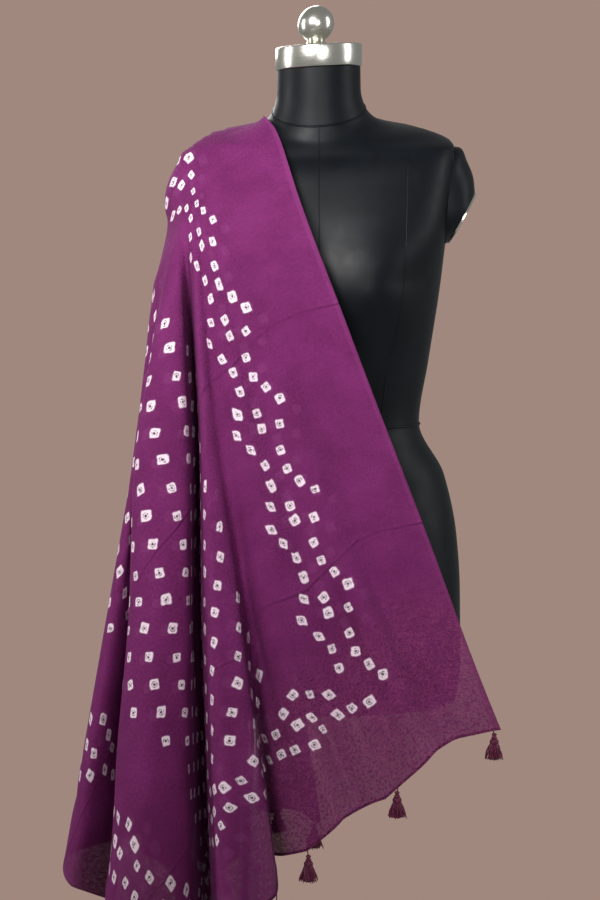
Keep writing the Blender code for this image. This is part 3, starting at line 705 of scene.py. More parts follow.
@dataclass(frozen=True)
class TieDye:
    """The chart of the undyed dots, in metres on the flat cloth.

    A chain of diamonds, each with two dots in its middle, runs round the cloth inside every edge. Within it
    lies a field of dots on a slanting lattice. Plain numbers in a dot's cell only keep the chance numbers of
    the edges, rows and sets apart.
    """

    dot: Dot = Dot()
    width: float = Cut.width
    length: float = Cut.length
    side_centre: float = 0.163
    end_centre: float = 0.138
    side_half: float = 0.034
    end_half: float = 0.026
    waist: float = 0.008
    corner: float = 0.130
    side_period: float = 0.1246
    end_period: float = 0.1233
    dots_per_diamond: int = 5
    middle_pair: float = 0.0110
    corner_clear: float = 0.0125
    slant: float = -0.37
    field_from_side: float = 0.300
    field_from_end: float = 0.195
    field_at: tuple = (0.652, 0.535)
    lattice_down: tuple = (-0.0195, 0.0305)
    lattice_across: tuple = (0.0255, 0.0305)
    field_turn: float = 0.80
    ghost_shift: tuple = (0.017, 0.026)

    def chart_group(self) -> bpy.types.NodeTree:
        """A group that draws the whole chart from u and s.

        Returns:
            The group, with the outputs White and Speck.
        """
        group = self.dot.group()
        board, (u, s) = new_group("dot_chart", U="Float", S="Float")
        spots = self.border_spots(board, group, u, s) + [self.field_spot(board, group, u, s)]
        whites = board.largest(*(white for white, _ in spots))
        specks = spots[0][0] * spots[0][1]
        for white, speck in spots[1:]:
            specks = specks + white * speck
        board.add("NodeGroupOutput", {0: whites, 1: specks})
        return board.tree

    def border_spots(
        self, board: Board, group: bpy.types.NodeTree, u: Wire, s: Wire
    ) -> list[tuple[Wire, Wire]]:
        """The border: two rows that part and meet as diamonds, and the pairs of dots in their middles.

        A row's distance from the chain's centre line is the waist plus half x (1 - t), where t goes from 0 at
        a diamond's middle to 1 between two diamonds. No dot is drawn across the diagonal of a corner.

        Args:
            board: Where the nodes are added.
            group: The group that draws a dot.
            u: Distance from the neck's selvedge.
            s: Distance from the front end.

        Returns:
            Whiteness and speck of each set of dots.
        """
        beside = board.math("MINIMUM", u, self.width - u)
        ahead = board.math("MINIMUM", s, self.length - s)
        side = board.math("LESS_THAN", beside, ahead + (self.side_centre - self.end_centre))

        def pick(for_side: Number, for_end: Number) -> Wire:
            """The first value along a long edge, the second along an end."""
            return board.wire("ShaderNodeMix", 0, {0: side, 2: for_end, 3: for_side}, data_type="FLOAT")

        along = pick(s, u)
        total = pick(self.length, self.width)
        inward = pick(beside, ahead) - pick(self.side_centre, self.end_centre)
        period = pick(self.side_period, self.end_period)
        half = pick(self.side_half, self.end_half)
        far_side = board.math("GREATER_THAN", u, self.width / 2)
        far = far_side + board.math("GREATER_THAN", s, self.length / 2) * 2.0
        edge_name = side * 31.0 + far * 7.0
        pitch = period / self.dots_per_diamond
        number = board.math("FLOOR", (along - self.corner) / pitch + 0.5)
        centre = number * pitch
        t = board.math("PINGPONG", centre, period / 2) / (period / 2)
        apart = (1.0 - t) * half + self.waist
        from_corner = board.math("MINIMUM", centre + self.corner, total - centre - self.corner)
        past = pick(self.end_centre - self.side_centre, self.side_centre - self.end_centre)
        spots = []
        for row, sign in enumerate((-1.0, 1.0)):
            depth = pick(self.side_centre, self.end_centre) + apart * sign
            allowed = board.math("GREATER_THAN", from_corner - depth - past, self.corner_clear)
            cell = board.vector(number, edge_name + 100.0 * row, 1.0)
            inner = inward - apart * sign
            ahead_of = along - self.corner - centre + inner * self.slant
            white, speck = board.through(group, ahead_of, inner, cell, 0.0)
            spots.append((white * allowed, speck))
        diamond = board.math("FLOOR", (along - self.corner) / period + 0.5)
        local = along - self.corner - diamond * period
        pair = board.math("ABSOLUTE", local) - self.middle_pair
        middle_at = diamond * period + self.corner
        middle_at = board.math("MINIMUM", middle_at, total - middle_at)
        allowed = board.math("GREATER_THAN", middle_at, self.side_centre)
        side_of_pair = board.math("SIGN", local)
        cell = board.vector(diamond, edge_name, side_of_pair + 5.0)
        from_pair = pair + inward * side_of_pair * self.slant
        white, speck = board.through(group, from_pair, inward, cell, 0.0)
        spots.append((white * allowed, speck))
        return spots

    def field_spot(self, board: Board, group: bpy.types.NodeTree, u: Wire, s: Wire) -> tuple[Wire, Wire]:
        """The field: one dot in each cell of the slanting lattice whose centre lies inside the border.

        Args:
            board: Where the nodes are added.
            group: The group that draws a dot.
            u: Distance from the neck's selvedge.
            s: Distance from the front end.

        Returns:
            Whiteness and speck.
        """
        (au, as_), (cu, cs) = self.lattice_down, self.lattice_across
        area = au * cs - as_ * cu
        x, y = u - self.field_at[0], s - self.field_at[1]
        p = x * (cs / area) - y * (cu / area) + 0.5
        q = y * (au / area) - x * (as_ / area) + 0.5
        p_cell, q_cell = board.math("FLOOR", p), board.math("FLOOR", q)
        dp, dq = p - p_cell - 0.5, q - q_cell - 0.5
        cell = board.vector(p_cell, q_cell, 300.0)
        du, ds = dp * au + dq * cu, dp * as_ + dq * cs
        white, speck = board.through(group, du, ds, cell, self.field_turn)
        centre_u = p_cell * au + q_cell * cu + self.field_at[0]
        centre_s = p_cell * as_ + q_cell * cs + self.field_at[1]
        past_side = board.math("MINIMUM", centre_u, self.width - centre_u) - self.field_from_side
        past_end = board.math("MINIMUM", centre_s, self.length - centre_s) - self.field_from_end
        inside = board.math("GREATER_THAN", board.math("MINIMUM", past_side, past_end), 0.0)
        return white * inside, speck


@dataclass(frozen=True)
class StoleCloth(Finish):
    """Thin plain-woven cotton, dyed plum, a little see-through, with undyed dots and turned hems.

    Scales are lumps to the metre. A share is how much of a colour is mixed into the dye; the shaded colour is
    painted shade, mixed in on crease flanks, over a band of the width and in the front corner. A cover is how
    little shows through. A pair of numbers holds where a change starts and where it is full.
    """

    name: str = "stole_cloth_plum"
    chart: TieDye = TieDye()
    deep: tuple = rgba(115, 39, 97)
    bright: tuple = rgba(135, 50, 117)
    bright_from: tuple = (0.32, 0.68)
    white: tuple = rgba(255, 234, 248)
    tied: tuple = rgba(40, 22, 40)
    tied_share: float = 0.92
    # The shaded colour is painted shade, mixed in by the shares below on crease flanks, over a band of the
    # width and in the front corner.
    shaded: tuple = rgba(84, 26, 70)
    slant_shade_share: float = 0.50
    packed_and_shaded_from: tuple = (0.30, 0.52)
    packed_shade_share: float = 0.12
    corner_ahead: tuple = (0.24, 0.14)
    corner_beside: tuple = (0.42, 0.30)
    corner_shade_share: float = 0.22
    streak: tuple = rgba(206, 104, 150)
    streak_half: float = 0.045
    streak_share: float = 0.42
    hem: float = Cut.side_hem
    end_hem: float = Cut.end_hem
    hem_edge: float = 0.0004
    hem_light: tuple = rgba(158, 78, 140)
    ghost_share: float = 0.22
    hem_share: float = 0.15
    hem_dark: tuple = rgba(52, 12, 40)
    end_hem_share: float = 0.70
    cover: float = 0.715
    open_weave: float = 0.20
    open_from: tuple = (0.40, 0.60)
    slant_cover: float = 0.18
    packed_cover: float = 0.12
    dot_cover: float = 0.92
    hem_cover: float = 0.80
    end_hem_cover: float = 0.95
    thread_scales: tuple = (420.0, 60.0)
    cloud_scale: float = 16.0
    worm_scale: float = 260.0
    pressed: tuple = (0.290, 0.587, 0.885, 1.180, 1.475)
    pressed_half: float = 0.0032
    pressed_wander: float = 0.006
    pressed_from: tuple = (0.30, 0.60)
    weave_height: float = 0.00014
    crease_height: float = 0.0015
    ripple_height: float = 0.0012
    sheen: tuple = rgba(190, 110, 180)

    def inputs(self, board: Board) -> dict:
        """The finish's nodes.

        Args:
            board: Where they are added.

        Returns:
            The shader's inputs.
        """
        flat = board.wire("ShaderNodeUVMap", 0, uv_map="flat")
        u, s, _ = board.parts(flat)
        group = self.chart.chart_group()
        white, speck = board.through(group, u, s)
        ghost_u, ghost_s = self.chart.ghost_shift
        ghost, _ = board.through(group, u + ghost_u, s + ghost_s)
        fine, coarse = self.thread_scales
        warp = board.noise(board.scaled(flat, (fine, coarse, 1.0)), 1.0, 3.0, 0.65)
        weft = board.noise(board.scaled(flat, (coarse, fine, 1.0)), 1.0, 3.0, 0.65)
        cloud = board.noise(flat, self.cloud_scale, 4.0, 0.6)
        worms = board.noise(flat, self.worm_scale, 2.0, 0.6)
        weave = warp * 0.5 + weft * 0.5
        dye_and_shade = board.colour((cloud * 0.6 + weave * 0.4).step(*self.bright_from), self.deep, self.bright)
        dye_and_shade = board.colour(ghost * self.ghost_share, dye_and_shade, self.hem_light)
        slant = board.wire("ShaderNodeAttribute", "Fac", attribute_name="slant", attribute_type="GEOMETRY")
        packed_and_shaded = u.step(*self.packed_and_shaded_from)
        # Painted shade: the colour is darkened towards the shaded colour on the flanks of creases and over a
        # band across the width; that band is also made less see-through below.
        dye_and_shade = board.colour(slant * self.slant_shade_share + packed_and_shaded * self.packed_shade_share, dye_and_shade, self.shaded)
        beside = board.math("MINIMUM", u, self.chart.width - u)
        ahead = board.math("MINIMUM", s, self.chart.length - s)
        hem = beside.step(self.hem + self.hem_edge, self.hem - self.hem_edge)
        end_hem = ahead.step(self.end_hem + self.hem_edge, self.end_hem - self.hem_edge)
        dye_and_shade = board.colour(hem * self.hem_share, dye_and_shade, self.hem_light)
        dye_and_shade = board.colour(end_hem * self.end_hem_share, dye_and_shade, self.hem_dark)
        streaks = board.math("ABSOLUTE", worms - 0.5).step(self.streak_half, 0.0)
        corner = ahead.step(*self.corner_ahead) * beside.step(*self.corner_beside)
        # Painted shade: the front corner is darkened towards the shaded colour, under the streaks.
        dye_and_shade = board.colour(corner * self.corner_shade_share, dye_and_shade, self.shaded)
        dye_and_shade = board.colour(streaks * corner * self.streak_share, dye_and_shade, self.streak)
        colour = board.colour(white, dye_and_shade, self.white)
        colour = board.colour(speck * self.tied_share, colour, self.tied)
        holes = (worms * 0.55 + weave * 0.45).step(*self.open_from)
        cover = holes * -self.open_weave + (self.cover + self.open_weave / 2)
        cover = cover + slant * self.slant_cover + packed_and_shaded * self.packed_cover
        sewn = (hem * self.hem_cover, end_hem * self.end_hem_cover)
        cover = board.largest(cover, white * self.dot_cover, *sewn)
        wander = s + (cloud - 0.5) * self.pressed_wander
        pressed = [board.math("ABSOLUTE", wander - at).step(self.pressed_half, 0.0) for at in self.pressed]
        ironed = board.largest(*pressed) * cloud.step(*self.pressed_from)
        height = (warp + weft) * self.weave_height + ironed * self.crease_height
        normal = board.bump(height + cloud * self.ripple_height, 1.0)
        return {
            "Base Color": colour,
            "Roughness": 0.85,
            "Normal": normal,
            "Alpha": cover,
            "Specular IOR Level": 0.12,
            "Sheen Weight": 0.10,
            "Sheen Roughness": 0.5,
            "Sheen Tint": self.sheen,
        }


# ---- the dress form ---------------------------------------------------------
class Section(NamedTuple):
    """A level section of the form: how high, how far it reaches to the side, the front and the back."""

    level: float
    half: float
    front: float
    back: float


FORM_SECTIONS = (
    Section(0.480, 0.030, 0.020, 0.020),  # air under the torso, where cloth closes in
    Section(0.732, 0.178, 0.106, 0.110),
    Section(0.800, 0.188, 0.116, 0.122),
    Section(0.900, 0.187, 0.118, 0.128),
    Section(0.970, 0.182, 0.114, 0.122),
    Section(1.050, 0.165, 0.104, 0.104),
    Section(1.118, 0.132, 0.092, 0.084),
    Section(1.200, 0.144, 0.100, 0.090),
    Section(1.300, 0.159, 0.112, 0.104),
    Section(1.380, 0.168, 0.102, 0.106),
    Section(1.430, 0.174, 0.086, 0.098),
    Section(1.455, 0.176, 0.074, 0.086),
    Section(1.470, 0.175, 0.066, 0.078),
    Section(1.4855, 0.151, 0.061, 0.069),
    Section(1.4945, 0.121, 0.058, 0.063),
    Section(1.500, 0.090, 0.056, 0.058),
    Section(1.509, 0.072, 0.0545, 0.0550),
    Section(1.525, 0.0600, 0.0530, 0.0530),
    Section(1.548, 0.0545, 0.0525, 0.0525),
    Section(1.640, 0.0535, 0.0525, 0.0525),
)


@dataclass(frozen=True)
class FormShape:
    """The form as a level function, so that cloth can be laid on it.

    A section's plane leans down to the front near the neck and rises towards +X at the shoulders.
    """

    bottom: float = 0.746
    top: float = 1.525
    neck_top: float = 1.577
    tilt: float = 0.42
    tilt_from: float = 1.44
    roll: float = 0.055
    roll_from: float = 1.30
    roll_full: float = 1.42
    bust_x: float = 0.082
    bust_z: float = 1.298
    bust_width: float = 0.062
    bust_height: float = 0.066
    bust_rise: float = 0.27
    stump_axis: tuple = (0.87, 0.0, -0.49)
    stump_end: tuple = (0.1845, 0.0, 1.3755)
    stump_inset: float = 0.018
    egg_centre: tuple = (-0.1375, 0.0, 1.4015)
    egg: tuple = (0.053, 0.068, 0.066)
    body_scale: float = 0.060
    egg_scale: float = 0.055
    blend: float = 0.010
    squareness: float = 1.5
    square_levels: tuple = (1.30, 1.39, 1.468, 1.490)

    def lean(self, level: Array) -> Array:
        """How much a section drops towards the front, in metres of height per metre."""
        return self.tilt * ease(level, self.tilt_from, self.top)

    def rise(self, level: Array) -> Array:
        """How much a section rises towards +X, in metres of height per metre."""
        return self.roll * ease(level, self.roll_from, self.roll_full)

    def half(self, level: Array) -> Array:
        """Half width at a level."""
        return monotone(column(FORM_SECTIONS, "level"), column(FORM_SECTIONS, "half"), level)

    def depth(self, x: Array, y: Array, level: Array) -> Array:
        """Half depth on the side that y is on: the section's own, plus a bell-shaped bust in front.

        Args:
            x: Distance from the middle, towards +X.
            y: Its sign says which side is meant, negative in front.
            level: Levels of the sections.

        Returns:
            The depths.
        """
        levels = column(FORM_SECTIONS, "level")
        front = monotone(levels, column(FORM_SECTIONS, "front"), level)
        back = monotone(levels, column(FORM_SECTIONS, "back"), level)
        side = ((np.abs(x) - self.bust_x) / self.bust_width) ** 2
        bump = np.exp(-side - ((level - self.bust_z) / self.bust_height) ** 2)
        return np.where(y < 0, front * (1 + self.bust_rise * bump), back)

    def value(self, p: Array) -> Array:
        """The level function: zero on the form, negative inside it.

        It is the smaller of the body's and the covered stump's own, smoothly blended. Each of those is the
        point's distance as a share of the section's or the egg's reach, less 1, times a length.

        Args:
            p: Points, any grid by 3.

        Returns:
            The value at each point, roughly in metres near the form.
        """
        x, y, z = p[..., 0], p[..., 1], p[..., 2]
        level = z
        for _ in range(4):
            level = z - self.lean(level) * y - self.rise(level) * x
        body = np.sqrt((x / self.half(level)) ** 2 + (y / self.depth(x, y, level)) ** 2 + 1e-9) - 1
        body = body * self.body_scale
        along = np.array((-self.stump_axis[0], 0.0, self.stump_axis[2]))
        up = np.array((self.stump_axis[2], 0.0, self.stump_axis[0]))
        q = np.stack([x, y, z - self.rise(level) * x], -1) - np.array(self.egg_centre)
        parts = (q @ along / self.egg[0], q @ up / self.egg[1], q[..., 1] / self.egg[2])
        egg = (np.sqrt(parts[0] ** 2 + parts[1] ** 2 + parts[2] ** 2 + 1e-9) - 1) * self.egg_scale
        share = np.clip(0.5 + 0.5 * (egg - body) / self.blend, 0, 1)
        return egg + (body - egg) * share - self.blend * share * (1 - share)

    def clear(self, p: Array, clearance: float, passes: int = 6) -> Array:
        """Moves points out along the form's normal until they are clear of it.

        Args:
            p: Points, any grid by 3.
            clearance: Least distance to the form.
            passes: Newton steps.

        Returns:
            The points, moved where they were too near.
        """
        p = p.reshape(-1, 3).copy()
        step, least_slope, longest = 1e-4, 0.05, 0.030
        near = np.arange(len(p))
        for _ in range(passes):
            q = p[near]
            f = self.value(q)
            shifts = step * np.eye(3)
            grad = np.stack([self.value(q + shifts[k]) - self.value(q - shifts[k]) for k in range(3)], -1)
            grad = grad / (2 * step)
            size = np.maximum(np.linalg.norm(grad, axis=-1), least_slope)
            lack = np.maximum(clearance - f / size, 0)
            p[near] = q + np.minimum(lack, longest)[:, None] * grad / size[:, None]
            near = near[lack > 1e-6]
            if len(near) == 0:
                break
        return p

    def outline(self, level: Array, cos: Array, sin: Array) -> Array:
        """Points of the torso at levels and turns, given as cosine and sine from +X.

        A section is an ellipse. Beside the bare arm it is squarer: its cosine and sine are raised to the
        power 2 / (2 + squareness), which leaves a flat side for the arm stump to stand on.

        Args:
            level: Levels, in the grid of the turns.
            cos: Cosines of the turns.
            sin: Sines of the turns.

        Returns:
            The grid by 3, raised by lean x y and rise x x.
        """
        low, full, held, high = self.square_levels
        extra = self.squareness * ease(level, low, full) * (1 - ease(level, held, high)) * (cos > 0)
        power = 2 / (2 + extra)
        across = np.sign(cos) * np.abs(cos) ** power
        deep = np.sign(sin) * np.abs(sin) ** power
        x = self.half(level) * across
        y = self.depth(x, sin, level) * deep
        return np.stack([x, y, level + self.lean(level) * y + self.rise(level) * x], -1)

    def ring(self, level: Array, sides: int) -> Array:
        """Rings of the torso.

        Args:
            level: The level of each ring.
            sides: Points of a ring.

        Returns:
            Rings by sides by 3.
        """
        cos, sin = circle(sides)
        level = np.asarray(level, float)[:, None] + 0 * cos
        return self.outline(level, cos + 0 * level, sin + 0 * level)

    def turn_at(self, level: Array, x: Array, front: int) -> Array:
        """The turns at which the torso's sections pass x.

        Args:
            level: The level of each section.
            x: Where it is passed, towards +X.
            front: -1 for the turn in front, 1 for the one behind.

        Returns:
            The turns, in radians from +X.
        """
        turns = np.linspace(0, math.pi, 361)
        grid = level[:, None] + 0 * turns
        reach = self.outline(grid, np.cos(turns) + 0 * grid, 0 * grid)
        found = [np.interp(-at, -row, turns) for at, row in zip(x, reach[..., 0])]
        return front * np.array(found)

    def surface(self, level: Array, turn: Array) -> Array:
        """Points of the torso at levels and turns, in radians from +X."""
        return self.outline(level, np.cos(turn), np.sin(turn))


class StumpRing(NamedTuple):
    """A ring of an arm stump: distance from its end, radius up the shoulder, radius to front and back."""

    distance: float
    lift: float
    deep: float


STUMP_RINGS = (
    StumpRing(-0.064, 0.070, 0.050),
    StumpRing(-0.045, 0.0785, 0.051),
    StumpRing(-0.028, 0.0670, 0.050),
    StumpRing(-0.011, 0.053, 0.047),
    StumpRing(0.0, 0.038, 0.042),
)


class SeamPoint(NamedTuple):
    """A level of a long seam, and how far it lies from the middle there."""

    level: float
    across: float


LONG_SEAM = (
    SeamPoint(0.76, 0.096),
    SeamPoint(1.118, 0.080),
    SeamPoint(1.298, 0.107),
    SeamPoint(1.44, 0.113),
    SeamPoint(1.475, 0.115),
)


@dataclass
class DressForm:
    """The limbless torso with its neck, metal band, finial and one arm plate."""

    shape: FormShape
    cover: bpy.types.Material
    metal: bpy.types.Material
    sides: int = 144
    rings: int = 170
    rounding: float = 0.014
    rounding_rings: int = 8
    drawn_in: float = 0.07
    drawn_power: float = 0.8
    stump_sides: int = 72
    stump_count: int = 28
    neck_rings: int = 24
    cord_sides: int = 8
    cord_sharp: float = 80.0
    seam_radius: float = 0.0009
    seam_inset: float = 0.036
    seam_end: float = 0.002
    seam_points: int = 90
    ring_points: int = 181
    long_seam_points: int = 80
    long_seam_ends: tuple = (0.768, 1.472)
    waist: float = 1.1165
    waist_cord: float = 0.0019
    neck_cord: float = 0.0012
    armhole_levels: tuple = (1.350, 1.464)
    armhole_points: tuple = (40, 16)
    armhole_share: float = 0.984
    armhole_cord: float = 0.0010
    band_radius: float = 0.0560
    band_rise: float = 0.029
    band_profile: tuple = (
        (0.0, 0.965), (0.0006, 0.99), (0.0016, 1.0), (0.0270, 1.0), (0.0282, 0.992),
        (0.0288, 0.978), (0.0290, 0.955), (0.0284, 0.93), (0.0282, 0.4),
    )
    ball_radius: float = 0.0235
    ball_centre: float = 1.6345
    ball_shift: float = -0.0035
    ball_last: float = 1.52
    ball_rings: int = 40
    ball_sides: int = 96
    stem_radius: float = 0.011
    stem_profile: tuple = ((0.0, 1.2), (0.0006, 1.32), (0.0020, 1.35), (0.0027, 1.2))
    gap: float = 0.0003
    plate_profile: tuple = (
        (0.90, 0.0003), (0.96, 0.0007), (0.96, 0.0026), (0.93, 0.0033), (0.55, 0.0034), (0.2, 0.0034),
    )

    def torso(self) -> None:
        """Torso from its rounded underside to the neck seam."""
        rounding = self.rounding
        turn = np.linspace(0, math.pi / 2, self.rounding_rings + 1)[:-1]
        share = 1 - self.drawn_in * (1 - np.sin(turn) ** self.drawn_power)
        low = self.shape.ring(np.full(len(turn), self.shape.bottom + rounding), self.sides)
        low[..., :2] *= share[:, None, None]
        low[..., 2] -= rounding * np.cos(turn)[:, None]
        levels = np.linspace(self.shape.bottom + rounding, self.shape.top, self.rings)
        rings = np.concatenate([low, self.shape.ring(levels, self.sides)])
        piece = Mesh().loft(rings).build("dress_form_torso", self.cover, Slot.COVER)
        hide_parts("form_torso")

    def stump_rings(self, side: int) -> Array:
        """Rings of an arm stump, root first: the table's radii carried smoothly along the stump's axis.

        Args:
            side: 1 for the bare arm, -1 for the one under the stole.

        Returns:
            Rings by sides by 3, counter-clockwise seen from outside.
        """
        places = column(STUMP_RINGS, "distance")
        distance = np.linspace(places[0], places[-1], self.stump_count)
        lift = monotone(places, column(STUMP_RINGS, "lift"), distance)
        deep = monotone(places, column(STUMP_RINGS, "deep"), distance)
        along = np.array(self.shape.stump_axis)
        up = np.array((-along[2], 0.0, along[0]))
        cos, sin = circle(self.stump_sides)
        centre = np.array(self.shape.stump_end) + distance[:, None] * along
        rings = centre[:, None] + (lift[:, None] * cos)[..., None] * up
        rings = rings + (deep[:, None] * sin)[..., None] * np.array((0.0, 1.0, 0.0))
        rings[..., 0] = side * rings[..., 0] + (self.shape.stump_inset if side < 0 else 0.0)
        rings[..., 2] += self.shape.roll * rings[..., 0]
        return rings if side > 0 else rings[:, ::-1]

    def stumps(self) -> None:
        """Both arm stumps and the plate that closes the bare one."""
        for side, name in ((1, "bare_arm_stump"), (-1, "covered_arm_stump")):
            Mesh().loft(self.stump_rings(side)).build(name, self.cover, Slot.COVER)
        end = self.stump_rings(1)[-1]
        along = np.array(self.shape.stump_axis)
        middle = end.mean(0)
        rings = np.stack([middle + share * (end - middle) + out * along for share, out in self.plate_profile])
        plate = Mesh().loft(rings).build("arm_plate", self.metal, Slot.FORM_METAL)
        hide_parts("form_arm_plate")

    def neck(self) -> None:
        """Neck, metal band and finial."""
        shape = self.shape
        share = np.linspace(0, 1, self.neck_rings)
        levels = shape.top + share * (shape.neck_top - shape.top)
        rings = shape.ring(levels, self.sides)
        lean = shape.tilt * (1 - share)[:, None]
        rings[..., 2] = levels[:, None] + self.gap + lean * rings[..., 1] + shape.roll * rings[..., 0]
        neck = Mesh().loft(rings).build("dress_form_neck", self.cover, Slot.COVER)
        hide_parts("form_neck")
        base = shape.neck_top + 2 * self.gap
        band = [(base + rise, self.band_radius * share) for rise, share in self.band_profile]
        rings = lathe(band, self.sides, shape.roll)
        ring = Mesh().loft(rings).build("neck_band", self.metal, Slot.FORM_METAL)
        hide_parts("form_neck_band")
        foot = base + self.band_rise + self.gap
        stem = self.stem_radius
        low = -math.acos(stem / self.ball_radius)
        profile = [(foot + rise, stem * share) for rise, share in self.stem_profile]
        centre, radius = self.ball_centre, self.ball_radius
        for turn in np.linspace(low, self.ball_last, self.ball_rings):
            profile.append((centre + radius * math.sin(turn), radius * math.cos(turn)))
        rings = lathe(profile, self.ball_sides, shape.roll, self.ball_shift)
        ball = Mesh().loft(rings).build("neck_finial", self.metal, Slot.FORM_METAL)
        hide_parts("form_finial")

    def seam(self, mesh: Mesh, level: Array, turn: Array, radius: float) -> None:
        """A cord half sunk in the torso.

        Args:
            mesh: The mesh that it is added to.
            level: Levels along the cord.
            turn: Turns along the cord, in radians from +X.
            radius: The cord's radius.
        """
        path = self.shape.surface(level, turn)
        middle = np.stack([0 * level, 0 * level, path[..., 2]], -1)
        rings = tube(path, np.full(len(path), radius), self.cord_sides, path - middle)
        mesh.loft(rings[:, ::-1])

    def seams(self) -> None:
        """The raised seams of the cover: waist, neck, centres, and the long seams over bust and blades."""
        mesh = Mesh()
        turn = np.linspace(0, 2 * math.pi, self.ring_points)
        self.seam(mesh, np.full(len(turn), self.waist), turn, self.waist_cord)
        self.seam(mesh, np.full(len(turn), self.shape.top - self.neck_cord), turn, self.neck_cord)
        low, high = self.shape.bottom + self.seam_inset, self.shape.top - self.seam_end
        level = np.linspace(low, high, self.seam_points)
        for turn_at in (-math.pi / 2, math.pi / 2):
            self.seam(mesh, level, np.full(len(level), turn_at), self.seam_radius)
        run = np.linspace(*self.long_seam_ends, self.long_seam_points)
        x = monotone(column(LONG_SEAM, "level"), column(LONG_SEAM, "across"), run)
        for side in (1, -1):
            for front in (-1, 1):
                self.seam(mesh, run, self.shape.turn_at(run, side * x, front), self.seam_radius)
        mesh.build("form_seams", self.cover, Slot.COVER, self.cord_sharp)

    def armhole(self) -> None:
        """The piped seam of the bare armhole: up the front, over, down the back and round below."""
        low, high = self.armhole_levels
        tall, wide = self.armhole_points
        up = np.linspace(low, high, tall)
        turn = self.shape.turn_at(up, self.armhole_share * self.shape.half(up), 1)
        over = np.linspace(-turn[-1], turn[-1], wide)[1:-1]
        under = np.linspace(turn[0], -turn[0], wide)[1:-1]
        levels = np.concatenate([up, np.full(len(over), high), up[::-1], np.full(len(under) + 1, low)])
        turns = np.concatenate([-turn, over, turn[::-1], under, -turn[:1]])
        mesh = Mesh()
        self.seam(mesh, levels, turns, self.armhole_cord)
        mesh.build("armhole_piping", self.cover, Slot.COVER, self.cord_sharp)

    def build(self) -> None:
        """Builds every piece of the form."""
        self.torso()
        self.stumps()
        self.neck()
        self.seams()
        self.armhole()


@dataclass
class Stand:
    """The round foot on the floor, and the pole in its socket, off centre on the stole's side."""

    metal: bpy.types.Material
    top: float
    pole_x: float = -0.0925
    pole_radius: float = 0.0125
    pole_edge: float = 0.001
    pole_end_share: float = 0.95
    pole_sides: int = 64
    gap: float = 0.0003
    sides: int = 120
    socket_sides: int = 72
    foot_profile: tuple = (
        (0.0, 0.1885), (0.0008, 0.1897), (0.0020, 0.190), (0.0064, 0.190), (0.0080, 0.1892),
        (0.0100, 0.1870), (0.0114, 0.1835), (0.0120, 0.178), (0.0120, 0.090),
    )
    socket_profile: tuple = (
        (0.0, 0.0368), (0.0006, 0.0375), (0.0026, 0.0375), (0.0040, 0.0358), (0.0065, 0.0325),
        (0.0100, 0.0300), (0.0180, 0.0276), (0.0300, 0.0252), (0.0368, 0.0240), (0.0376, 0.0232),
        (0.0380, 0.0222),
    )

    def build(self) -> None:
        """Builds foot, socket and pole."""
        rings = lathe(self.foot_profile, self.sides)
        foot = Mesh().loft(rings).build("stand_foot", self.metal, Slot.STAND_METAL)
        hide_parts("stand_base")
        floor = self.foot_profile[-1][0] + self.gap
        collar = [(floor + rise, radius) for rise, radius in self.socket_profile]
        rings = lathe(collar, self.socket_sides, 0.0, self.pole_x)
        socket = Mesh().loft(rings).build("pole_socket", self.metal, Slot.STAND_METAL)
        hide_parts("stand_socket")
        top = self.top - self.gap
        low = floor + self.socket_profile[-1][0] + self.gap
        radius, edge = self.pole_radius, self.pole_edge
        end = radius * self.pole_end_share
        profile = ((low, end), (low + edge, radius), (top - edge, radius), (top, end))
        rings = lathe(profile, self.pole_sides, 0.0, self.pole_x)
        pole = Mesh().loft(rings).build("stand_tube", self.metal, Slot.STAND_METAL)
        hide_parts("stand_pole")


# ---- the stole --------------------------------------------------------------
class Hull(NamedTuple):
    """How the cloth would lie without folds: angle on the flat cloth, bearing from down, and body side."""

    angle: float
    bearing: float
    side: float


class Fold(NamedTuple):
    """A fold line and where it stands at the reference distance."""

    name: str
    x: float
    y: float


class Bend(NamedTuple):
    """How far a fold line bows aside from its straight run: to +X and to the back, at the bend distances."""

    name: str
    x: tuple
    y: tuple = (0, 0, 0, 0, 0, 0)


class Crease(NamedTuple):
    """A soft ridge, or a trough where height is negative, from one flat point to another."""

    start: tuple
    stop: tuple
    width: float
    height: float


class Hang(NamedTuple):
    """How far below the shoulder ridge, and how far the cloth hangs out in front and behind."""

    fall: float
    front: float
    back: float


class Swell(NamedTuple):
    """Distance from the apex, and how far the outer side stands out there."""

    distance: float
    out: float


class Drop(NamedTuple):
    """Share of the width, and how far the front end lies from the shoulder line."""

    share: float
    drop: float


